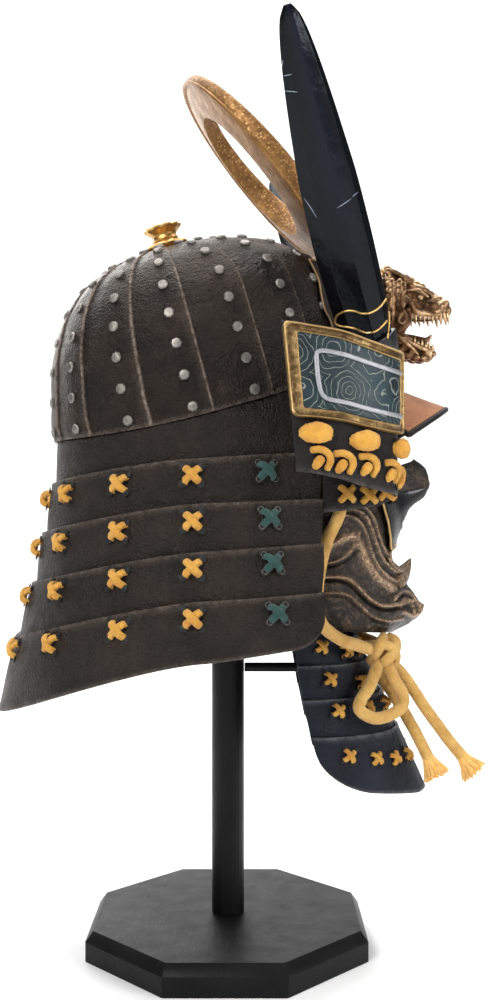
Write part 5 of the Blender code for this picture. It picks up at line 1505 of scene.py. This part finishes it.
def make_ring():
    """A wedge section carried round: beaded outer edge, a back that rises inward, a flat front."""
    outer, inner = RING_RADIUS, RING_RADIUS - RING_WIDTH
    section = ((-0.0008, 0.04, 0.6), (0.0000, 0.18, 0.9), (0.0002, 0.5, 1.0), (0.0000, 0.85, 0.9), (-0.0012, 0.98, 0.4),
               (-0.0050, 1.0, 0.1), (-0.0170, 1.0, 0.1), (-0.0290, 1.0, 0.3), (-0.0328, 0.97, 0.6), (-0.0340, 0.85, 0.9),
               (-0.0340, 0.45, 1.0), (-0.0340, 0.05, 0.9))
    back = ((-0.0333, -0.0056, 0.4), (-0.0318, -0.0060, 0.1), (-0.0250, -0.0049, 0.1), (-0.0160, -0.0034, 0.15),
            (-0.0078, -0.0018, 0.3), (-0.0058, -0.0010, 0.9), (-0.0050, -0.0012, 0.9), (-0.0042, -0.0022, 0.2),
            (-0.0026, -0.0027, 0.0), (-0.0012, -0.0022, 0.0), (-0.0004, -0.0010, 0.1))
    rings, wear_and_sheen = [], []
    for i in range(180):
        turn = 2 * pi * i / 180
        z = cos(turn) * outer
        share = (z + outer) / (2 * outer)
        thick = RING_TOP + (RING_FOOT - RING_TOP) * share
        ring = []
        for dr, depth, spot in section + back:
            behind = (dr, depth, spot) in back
            x = depth if behind else thick * depth
            radius = outer + dr
            point = ring_world(x, radius * sin(turn), radius * cos(turn))
            bumpy = rough(point, 0.0045, 0.0006 * spot, 4)
            ring.append(ring_world(x, (radius + bumpy) * sin(turn), (radius + bumpy) * cos(turn)))
            wear_and_sheen.append(spot)
        rings.append(ring)
    count = len(rings[0])
    faces = grid_faces(len(rings), count, True)
    last = (len(rings) - 1) * count
    faces += [(last + j, last + (j + 1) % count, (j + 1) % count, j) for j in range(count)]
    made = piece("crest_ring_gold", [p for ring in rings for p in ring], faces, ring_material(), 42,
                 None, wear_and_sheen, ("crest_ring",))
    tidy(made.data)


make_ring()


def refined(node, name, material, bevel):
    """The CAD node's own shape with its edges rounded, in a better finish."""
    mesh = NODES[node].data.copy()
    mesh.name = name
    tidy(mesh, 1e-5)
    made = finish_piece(name, mesh, material, 30, (node,))
    edge = made.modifiers.new("edge", "BEVEL")
    edge.width, edge.segments, edge.limit_method, edge.angle_limit = bevel, 3, "ANGLE", radians(20)
    return made


refined("crest_tang", "crest_tang_gold", GOLD, 0.0004)
refined("stand_base", "stand_base_black", BLACK_PAINT, 0.0009)
refined("stand_post", "stand_post_black", BLACK_PAINT, 0.0006)
refined("stand_arm", "stand_arm_black", BLACK_PAINT, 0.0003)
refined("stand_head_rest", "stand_head_rest_black", BLACK_PAINT, 0.0006)

# ---------------------------------------------------------------- throat guard
THROAT_X, THROAT_LENGTHS, THROAT_WIDTHS = 0.056, (0.054, 0.112), (0.059, 0.074)
THROAT_Z, THROAT_DEPTH, THROAT_OVERLAP = 0.2606, 0.128, 0.006
THROAT_TURNS = (radians(92), radians(76))
THROAT_LAMES = ((0.0, 0.15), (0.15, 0.36), (0.36, 0.59), (0.59, 1.0))


def throat_point(spread, share, inset=0.0):
    turn = spread * (THROAT_TURNS[0] + (THROAT_TURNS[1] - THROAT_TURNS[0]) * share)
    length = THROAT_LENGTHS[0] + (THROAT_LENGTHS[1] - THROAT_LENGTHS[0]) * share
    half = THROAT_WIDTHS[0] + (THROAT_WIDTHS[1] - THROAT_WIDTHS[0]) * share
    return Vector((THROAT_X + (length - inset) * cos(turn), (half - inset) * sin(turn), THROAT_Z - THROAT_DEPTH * share))


# Crosses seen on each throat lame, in pixels of the photograph
THROAT_CROSSES = (
    ((321.5, 647.0), (346.7, 651.0)), ((330.0, 679.5), (362.0, 682.0)), ((339.0, 710.5),),
    ((349.0, 756.0), (376.0, 758.5), (395.0, 758.5), (407.0, 755.0)),
)


def find_throat(u, v, top, bottom):
    """The place on a near-side lame that the camera sees at a pixel."""
    best = None
    for i in range(101):
        for j in range(61):
            spread, share = -i / 100, top + (bottom - top) * j / 60
            a, b = seen_at(throat_point(spread, share))
            miss = hypot(a - u, b - v)
            if best is None or miss < best[0]:
                best = (miss, spread, share)
    return best[1], best[2]


def make_throat():
    yellow, holes = Soup(), Soup()
    cross, eyelet = cross_lacing(0.0042, 0.0042, 0.0015), eyelets(0.0050, 0.0016)
    cross.fuzz(0.00075)
    for k, (top, bottom) in enumerate(THROAT_LAMES):
        last = k == len(THROAT_LAMES) - 1
        overlap = 0.0 if last else THROAT_OVERLAP / THROAT_DEPTH
        columns, lines = 121, 16
        rows, wear_and_sheen = [[] for _ in range(lines)], []
        for i in range(columns):
            spread = 2 * i / (columns - 1) - 1
            spread += 0.16 * sin(pi * spread)
            head = throat_point(spread, top)
            foot = throat_point(spread, bottom, 0.0 if last else LEATHER + 0.0006)
            tail = foot + (foot - head) / (bottom - top) * overlap
            if last:
                away = min(1.0, max(0.0, abs(spread) - 0.70) / 0.30)
                rise = 0.22 * max(0.0, abs(spread) - 0.30) / 0.70 + 0.53 * (1 - sqrt(1 - away ** 2))
                tail = tail.lerp(head, rise)
            out = Vector((head.x - THROAT_X, head.y, 0)).normalized()
            for j in range(lines):
                t = j / (lines - 1)
                rows[j].append(head.lerp(tail, t) + out * 0.0007 * exp(-(t / 0.05) ** 2))
        rows = uneven(rows, 0.028, 0.0008, 7.0 + k, (THROAT_X, 0.0))
        for j in range(lines):
            wear_and_sheen += [1.0 if j == 0 else 0.2 if j == 1 else 0.9 if last and j == lines - 1 else 0.0] * columns
        wall(f"throat_lame_{k + 1}_hide", rows, LEATHER, THROAT_HIDE, offset=1.0,
             bevel=0.0006, replaces=(f"throat_lame_{k + 1}",), wear_and_sheen=wear_and_sheen)
        spots = [find_throat(u, v, top, bottom) for u, v in THROAT_CROSSES[k]]
        while len(spots) < 4:
            spread, share = spots[-1]
            step = abs(spots[0][0] - spots[1][0]) if len(spots) > 1 else 0.27
            spots.append((spread + step, share))
        spots = [(spread, share) for spread, share in spots if spread < -0.04]
        for j, (spread, share) in enumerate(spots + [(-spread, share) for spread, share in spots]):
            spot = throat_point(spread, share)
            across = throat_point(spread + 0.03, share) - throat_point(spread - 0.03, share)
            upward = throat_point(spread, share - 0.03) - throat_point(spread, share + 0.03)
            normal = across.cross(upward).normalized()
            if normal.x * (spot.x - THROAT_X) + normal.y * spot.y < 0:
                normal = -normal
            matrix = frame_at(spot + normal * 0.0006, normal, spin=0.22 * (j % 3 - 1))
            yellow.placed(cross, matrix)
            holes.placed(eyelet, matrix)
    yellow.make("throat_lacing_yellow", YELLOW, "chin_cord_right")
    holes.make("throat_lacing_eyelets", EYELET_SHADE, "throat_lame_1")


make_throat()

# ---------------------------------------------------------------- mask
MASK_BACK, MASK_FRONT, MASK_HALF, MASK_TOP, MASK_CHIN = 0.068, 0.143, 0.0725, 0.4096, 0.2621
MASK_WALL, MASK_NOSE = 0.003, 0.035
MASK_TABLE = (
    (0.000, 0.960, 0.00, 0.800), (0.050, 1.060, 0.20, 0.840), (0.130, 1.120, 0.40, 0.870),
    (0.220, 1.080, 0.28, 0.900), (0.310, 1.030, 0.15, 0.930), (0.400, 1.040, 0.20, 0.960),
    (0.470, 0.980, 0.15, 0.980), (0.560, 0.950, 0.00, 0.995), (0.640, 0.970, 0.25, 1.000),
    (0.720, 0.970, 0.42, 1.000), (0.795, 0.950, 0.85, 0.995), (0.865, 0.930, 0.98, 0.990),
    (0.940, 0.900, 0.95, 0.980), (1.000, 0.880, 0.70, 0.970),
)
MASK_COLUMNS = list(zip(*MASK_TABLE))
# Folds and ridges of the near cheek by pixels: height, width in pixels and the line
FOLDS = (
    # The band of ridges from the cheek round the mouth
    (0.0016, 1.3, ((333, 519), (345, 515), (357, 519), (365, 530), (370, 546), (376, 562), (386, 575), (398, 582))),
    (-0.0014, 1.0, ((335, 515), (347, 512), (360, 516), (368, 528), (373, 545), (379, 560), (389, 572), (400, 578))),
    (0.0016, 1.2, ((338, 511), (350, 509), (363, 513), (371, 526), (376, 542), (382, 557), (392, 569), (403, 574))),
    (-0.0013, 1.0, ((345, 507), (358, 508), (368, 515), (375, 530), (380, 546), (386, 558), (396, 568))),
    (0.0015, 1.3, ((352, 504), (366, 508), (374, 519), (379, 535), (384, 549), (391, 560), (401, 569))),
    (0.0030, 3.4, ((325, 549), (337, 541), (352, 536), (360, 545), (366, 560), (378, 577), (392, 588))),
    # The cheek's lower edge and the long grooves under it
    (0.0017, 1.3, ((324, 564), (336, 561), (348, 554), (356, 543), (359, 532))),
    (-0.0016, 1.1, ((324, 567), (338, 565), (350, 559), (358, 550))),
    (0.0026, 1.7, ((324, 577), (338, 577), (350, 580), (360, 589), (371, 600), (384, 606), (398, 604), (412, 600))),
    (-0.0026, 1.3, ((324, 581), (338, 581), (349, 585), (359, 594), (370, 604), (384, 610), (400, 608))),
    (0.0017, 1.3, ((324, 593), (340, 593), (351, 597), (361, 606), (372, 616), (386, 621), (402, 619))),
    (-0.0014, 1.0, ((324, 596), (340, 597), (350, 602), (360, 611), (372, 620), (388, 625))),
    # Folds of the lower lip and chin
    (0.0020, 1.3, ((394, 600), (400, 592), (408, 592), (416, 600), (419, 609))),
    (-0.0016, 0.9, ((397, 602), (402, 596), (408, 596), (414, 603), (417, 611))),
    (0.0016, 1.1, ((399, 604), (404, 599), (409, 601), (413, 607), (414, 614))),
    (0.0022, 1.8, ((404, 612), (412, 616), (419, 612), (421, 604))),
)
# Bands set with small pellets: width in pixels and the line
PELLETS = (
    (2.6, ((341, 504), (356, 511), (368, 521), (374, 538), (380, 554), (390, 567), (402, 574))),
    (3.4, ((384, 575), (392, 583), (402, 584), (408, 577))),
)


def mask_base(column, share, proud=0.0):
    front, nose, width = (curve_at(MASK_COLUMNS[0], MASK_COLUMNS[k], share) for k in (1, 2, 3))
    turn = column * pi / 2
    half = MASK_HALF * width
    y = half * sin(turn)
    x = MASK_BACK + (MASK_FRONT - MASK_BACK) * front * abs(cos(turn)) ** 0.85
    x += MASK_NOSE * nose * exp(-(y / 0.0135) ** 2)
    top = MASK_TOP - 0.020 * min(1.0, abs(column) / 0.35)
    foot = MASK_CHIN + 0.008 * abs(column)
    out = Vector((cos(turn) * half, sin(turn) * (MASK_FRONT - MASK_BACK) * front, 0.0)).normalized()
    return Vector((x, y, foot + (top - foot) * share)) + out * proud


def line_distance(u, v, line):
    """Pixels from each place to a broken line."""
    best = np.full(len(u), 1e9)
    for (a, b), (c, d) in zip(line, line[1:]):
        dx, dy = c - a, d - b
        t = np.clip(((u - a) * dx + (v - b) * dy) / (dx * dx + dy * dy), 0.0, 1.0)
        best = np.minimum(best, np.hypot(u - a - dx * t, v - b - dy * t))
    return best


def line_between(line):
    """A rounder line through the same pixels."""
    return [(p[0], p[1]) for p in smooth_path([(u, v, 0.0) for u, v in line], 24)]


MOUTH_SHARE, MOUTH_TALL, MOUTH_WIDE = 0.485, 0.130, 0.33


def make_mask():
    lines, half_columns = 210, 105
    columns = 2 * half_columns + 1
    places = [((j - half_columns) / half_columns, i / (lines - 1)) for i in range(lines) for j in range(columns)]
    plain = [mask_base(column, share) for column, share in places]
    seen = np.array([seen_at((p.x, -abs(p.y), p.z)) for p in plain])
    u, v = seen[:, 0], seen[:, 1]
    relief = np.zeros(len(places))
    for height, wide, line in FOLDS:
        relief += height * np.exp(-(line_distance(u, v, line_between(line)) / wide) ** 2)
    pellets = np.zeros(len(places))
    for wide, line in PELLETS:
        pellets = np.maximum(pellets, np.exp(-(line_distance(u, v, line_between(line)) / wide) ** 4))
    verts, keep, ridges = [], [], []
    for k, ((column, share), p) in enumerate(zip(places, plain)):
        rise = relief[k] * min(1.0, (1 - abs(column)) * 12 + 0.3)
        grain = max(0.0, noise.noise(p * 420.0))
        ridges.append(min(1.0, max(0.0, rise) / 0.0018 + 0.8 * pellets[k] * grain))
        rise += 0.0012 * pellets[k] * grain + rough(p, 0.006, 0.0006, 8) + rough(p, 0.0026, 0.0004, 9)
        verts.append(mask_base(column, share, rise))
        keep.append((column / MOUTH_WIDE, (share - MOUTH_SHARE) / MOUTH_TALL))
    faces = []
    for face in grid_faces(lines, columns):
        a = sum(keep[i][0] for i in face) / 4
        b = sum(keep[i][1] for i in face) / 4
        if hypot(a, b) > 1.0:
            faces.append(face)
    used = {}
    for face in faces:
        for i in face:
            used[i] = used.get(i, 0) + 1
    for i, times in used.items():
        a, b = keep[i]
        away = hypot(a, b)
        if times < 4 and away < 1.25 and 0 < i // columns < lines - 1 and 0 < i % columns < columns - 1:
            column, share = a / away * MOUTH_WIDE, MOUTH_SHARE + b / away * MOUTH_TALL
            verts[i] = mask_base(column, share, 0.0022)
    made = piece("mask_face", verts, faces, MASK_METAL, 45, None, ridges, ("mask",))
    bm = bmesh.new()
    bm.from_mesh(made.data)
    bmesh.ops.delete(bm, geom=[v for v in bm.verts if not v.link_faces], context="VERTS")
    bm.to_mesh(made.data)
    bm.free()
    solid = made.modifiers.new("wall", "SOLIDIFY")
    solid.thickness, solid.offset = MASK_WALL, 1.0
    if made.data.polygons[0].normal.x > 0:
        solid.offset = -1.0
    trim, dark = Soup(), Soup()
    for side in (-1, 1):
        # The smooth black piece beside the nose, with a gold edge and a bright stud
        rows = []
        for i in range(14):
            t = i / 13
            share = 0.545 + 0.31 * t
            middle = 0.275 - 0.02 * t
            half = 0.050 + 0.150 * t ** 0.7
            rows.append([mask_base(side * (middle + half * (1 - 2 * j / 11)), share, 0.0042) for j in range(12)])
        wall(f"mask_nose_guard_{'right' if side < 0 else 'left'}", rows, 0.0022, BLACK_GLOSS,
             offset=0.0, bevel=0.0008)
        edge = [rows[i][0] for i in range(13, -1, -1)] + rows[0][1:]
        trim.tube(smooth_path([tuple(p) for p in edge], 60), 0.0012, 8, round_ends=2)
        stud = rows[1][5]
        trim.ball(stud + Vector((0, side * 0.0020, 0)), (0.0016, 0.0016, 0.0016))
        # Moustache and lip ridges
    trim.make("mask_edging", OLD_GOLD, "mask", uv=False)
    lip = Soup()
    rim = []
    for k in range(61):
        turn = 2 * pi * k / 60
        rim.append(mask_base(MOUTH_WIDE * cos(turn), MOUTH_SHARE + MOUTH_TALL * sin(turn), 0.0006))
    lip.tube(rim, 0.0026, 10, round_ends=1)
    tip = Vector((0.1556, 0.0, 0.3240))
    for side in (-1, 1):
        lip.tube(smooth_path([mask_base(side * 0.20, 0.325, 0.000), mask_base(side * 0.09, 0.335, -0.001),
                              tip + Vector((-0.0040, side * 0.003, -0.0075)), tip], 14),
                 0.0070, 10, taper=[1.0 - 0.86 * (i / 13) ** 2.4 for i in range(14)])
    lip.make("mask_lips", MASK_METAL, "mask", uv=False, wear_and_sheen=0.7)


make_mask()

# ---------------------------------------------------------------- dragon head
DRAGON_BACK, DRAGON_Z = 0.1304, 0.5356


def make_dragon():
    """Modelled from many soft forms, then joined into one cast skin."""
    body = Soup()

    def at(x, y, z):
        return Vector((DRAGON_BACK + x * 0.001, y * 0.001, DRAGON_Z + z * 0.001))

    def lump(x, y, z, rx, ry, rz, lean=0.0):
        for side in ((-1, 1) if y else (1,)):
            turn = Matrix.Rotation(radians(-lean), 3, "Y")
            body.ball(at(x, y * side, z), (rx * 0.001, ry * 0.001, rz * 0.001), turn)

    def strand(points, radius, taper, sides=8, both=True):
        for side in ((-1, 1) if both else (1,)):
            path = smooth_path([at(x, y * side, z) for x, y, z in points], 16)
            scale = [np.interp(i / 15, np.linspace(0, 1, len(taper)), taper) for i in range(16)]
            body.tube(path, radius * 0.001, sides, taper=scale, round_ends=2)

    # Skull, muzzle, nose and jaws; millimetres forward, sideways and up from the neck's middle
    lump(7, 0, 0, 9, 25, 31)
    lump(10, 0, 13, 13, 18, 20)
    lump(10, 0, 4, 17, 22, 19)
    lump(30, 0, 8, 15, 12, 10, -14)
    lump(45, 4.5, 8, 6, 4.5, 4.5)
    for i in range(5):
        for j in range(7):
            lump(3.5 + 3.4 * i, 21.5 - 0.9 * i, 19 - 5.4 * j + 2.5 * (i % 2), 2.6, 2.0, 3.0)
    lump(24, 0, 7, 17, 17, 12, -12)
    lump(38, 0, 3, 15, 13, 9, -8)
    lump(49, 0, 2, 10, 11, 8)
    lump(53, 5.5, 5, 5, 4.2, 4.4)
    lump(56, 0, 0, 4.5, 6.5, 5)
    lump(36, 9, -2, 14, 4.5, 4)
    lump(27, 11, 13, 7, 5, 6)
    lump(31, 12.5, 9, 4.2, 3.4, 3.6)
    lump(13, 14, -8, 12, 9, 12)
    lump(12, 0, -26, 13, 15, 9)
    lump(26, 0, -33, 14, 12, 6, 12)
    lump(38, 0, -37, 9, 9, 4.6, 4)
    lump(42, 0, -33, 4, 6, 3.4)
    for x, y, z, size in ((14, 9, -33, 6.5), (21, 8, -38.5, 5.5), (28, 6.5, -40.5, 5.0), (34, 6, -41.5, 4.2),
                          (40, 5, -40.5, 3.8), (44, 3, -37, 3.4)):
        lump(x, y, z, size, size * 0.9, size * 0.8)
    strand(((20, 9, 19), (28, 12, 18), (36, 11, 15), (42, 7, 13)), 3.2, (0.5, 1, 1, 0.5))
    strand(((20, 14, 15), (30, 15.5, 14), (38, 13, 10)), 2.2, (0.5, 1, 0.6))
    strand(((16, 17, 12), (22, 19, 4), (27, 17, -3), (38, 13, -5), (50, 9, -5)), 3.0, (0.5, 1, 1, 0.8, 0.6))
    strand(((6, 17, 6), (12, 21, 0), (18, 20, -8), (17, 17, -16), (12, 17, -20)), 3.4, (0.6, 1, 1, 0.8, 0.5))
    strand(((14, 15, -22), (24, 13, -29), (36, 9.5, -34), (42, 5, -33)), 2.4, (0.7, 1, 1, 0.7))
    strand(((8, 17, -18), (14, 19, -26), (24, 17, -34), (30, 14, -39)), 2.6, (0.8, 1, 0.8, 0.3))
    strand(((50, 3, 8), (46, 3, 13), (40, 3, 12)), 1.8, (1, 0.8, 0.4))
    # Horns and antlers
    strand(((26, 9, 20), (17, 12, 26), (9, 14, 31), (3, 15, 33)), 3.6, (1, 0.9, 0.7, 0.3))
    for x, y, z, size in ((4, 6, 34, 4.2), (9, 9, 30, 4.6), (14, 4, 28, 4.6), (19, 8, 26, 4.4), (24, 4, 25, 4.2),
                          (28, 8, 21, 4.0), (33, 4, 20, 3.8), (37, 7, 15.5, 3.4), (41, 3.5, 14, 3.2)):
        points = []
        for i in range(9):
            t = i / 8
            a, r = 5.2 * t, size * (1 - 0.72 * t)
            points.append((x + r * cos(a), y + 1.6 * t, z - 1.5 + r * sin(a)))
        strand(points, 1.9, (0.8, 1.0, 1.0, 0.9, 0.7))
    strand(((36, 5, 14), (44, 4.5, 11), (50, 4.5, 9.5), (56, 4, 5)), 2.6, (0.6, 1, 1, 0.7))
    # Mane and beard: curled locks fanned round the neck
    rng = np.random.default_rng(5)
    for k in range(26):
        degrees = -80 + k * 340 / 25 - 20
        turn = radians(degrees)
        y, z = cos(turn), sin(turn)
        for layer in range(2):
            start = 13 + 5 * layer
            reach = (15 + 5 * rng.random()) * (1.0 - 0.25 * layer)
            if z < -0.3:
                reach *= 0.75
            curl = (1 if k % 2 else -1) * (0.30 + 0.25 * rng.random())
            x0 = 3 + 5 * layer + 3 * rng.random()
            points = []
            for i in range(6):
                t = i / 5
                a = turn + curl * t * t
                r = start + reach * t - 3.5 * t ** 3
                points.append((x0 + 5 * sin(t * 2.6) + 2 * t, r * cos(a) * 0.86, r * sin(a) * 0.95 - 2))
            strand(points, 3.5, (1.0, 1.15, 1.05, 0.85, 0.5, 0.16), 8, both=False)
    # Whisker curls at the corner of the mouth
    strand(((20, 19, -2), (15, 23, -6), (12, 23, -12), (16, 22, -14), (18, 22, -10)), 1.9, (1, 0.9, 0.8, 0.6, 0.4))
    # Tongue
    strand(((18, 0, -22), (28, 0, -24), (38, 0, -25), (43, 0, -21)), 3.4, (1, 1.1, 0.9, 0.4), both=False)
    made = body.make("dragon_skin", BRONZE, "dragon_head", smooth=180, replaces=("dragon_head",), uv=False)
    remesh = made.modifiers.new("skin", "REMESH")
    remesh.mode, remesh.voxel_size, remesh.use_smooth_shade = "VOXEL", 0.00085, True
    relax = made.modifiers.new("relax", "SMOOTH")
    relax.factor, relax.iterations = 0.5, 2
    # Teeth, and a bead on each side, stay crisp, so they are their own piece
    teeth = Soup()
    for side in (-1, 1):
        for k in range(11):
            t = k / 10
            x = 20 + 36 * t
            y = (14.5 - 8.5 * t ** 2.2) * side
            size = (5.0 if k % 2 else 7.4) * (1.2 if k in (8, 9) else 1.0)
            teeth.tube([at(x, y, -3.5), at(x + 0.3, y, -4.5 - size * 0.5), at(x + 0.9, y * 0.97, -4.5 - size)], 0.0017, 8,
                       taper=[1.0, 0.75, 0.12], round_ends=1)
        for k in range(8):
            t = k / 7
            x = 21 + 22 * t
            y = (11.0 - 5.0 * t ** 2) * side
            size = (4.4 if k % 2 else 6.2) * (1.3 if k == 6 else 1.0)
            z = -28 - 5.5 * t
            teeth.tube([at(x, y, z - 1), at(x + 0.2, y, z + size * 0.5), at(x + 0.6, y * 0.97, z + size)], 0.0015, 8,
                       taper=[1.0, 0.75, 0.12], round_ends=1)
        teeth.ball(at(31.5, 14.6 * side, 9.0), (0.0026, 0.0022, 0.0026))
    teeth.make("dragon_teeth", BRONZE, "dragon_head", uv=False)


make_dragon()


# ---------------------------------------------------------------- floor and light
def make_stage():
    g = Graph("floor_pale")
    g.link(g.ramp(g.noise(3.0, 3.0), ((0.3, (0.90, 0.90, 0.90)), (0.7, (0.94, 0.94, 0.94)))), "Base Color")
    g.set(Roughness=0.8)
    mesh = bpy.data.meshes.new("floor")
    wide, near, far, tall = 6.0, -3.0, 3.2, 4.5
    profile = [(near, 0.0)] + [(far - 1.2 + 1.2 * sin(a), 1.2 - 1.2 * cos(a)) for a in np.linspace(0, pi / 2, 12)]
    profile.append((far, tall))
    verts = [(x, y, z - 0.0002) for y, z in profile for x in (-wide, wide)]
    faces = [(2 * i, 2 * i + 1, 2 * i + 3, 2 * i + 2) for i in range(len(profile) - 1)]
    mesh.from_pydata(verts, [], faces)
    mesh.materials.append(g.material)
    mesh.shade_smooth()
    floor = bpy.data.objects.new("floor", mesh)
    HOME.objects.link(floor)
    world = bpy.data.worlds.new("studio")
    bpy.context.scene.world = world
    world.use_nodes = True
    world.node_tree.nodes["Background"].inputs["Color"].default_value = (1.0, 1.0, 1.0, 1.0)
    world.node_tree.nodes["Background"].inputs["Strength"].default_value = 0.12
    for name, spot, size, power in (
            ("key", (-1.0, -1.7, 1.6), 1.0, 46.0),
            ("fill", (1.8, -1.1, 0.9), 0.9, 24.0),
            ("top", (0.1, 0.2, 2.2), 1.6, 34.0),
            ("rear", (-0.9, 1.5, 1.4), 1.4, 20.0),
            ("backdrop", (0.0, 1.2, 2.6), 3.0, 90.0)):
        light = bpy.data.lights.new(name, "AREA")
        light.size, light.energy = size, power
        lamp = bpy.data.objects.new(name, light)
        lamp.location = spot
        aim = Vector((0.0, 3.0 if name == "backdrop" else 0.0, 0.40)) - Vector(spot)
        lamp.rotation_euler = aim.to_track_quat("-Z", "Y").to_euler()
        HOME.objects.link(lamp)


make_stage()

for node, target in NODES.items():
    if not target.hide_render:
        target.data.materials.clear()
        target.data.materials.append(BLACK_PAINT)
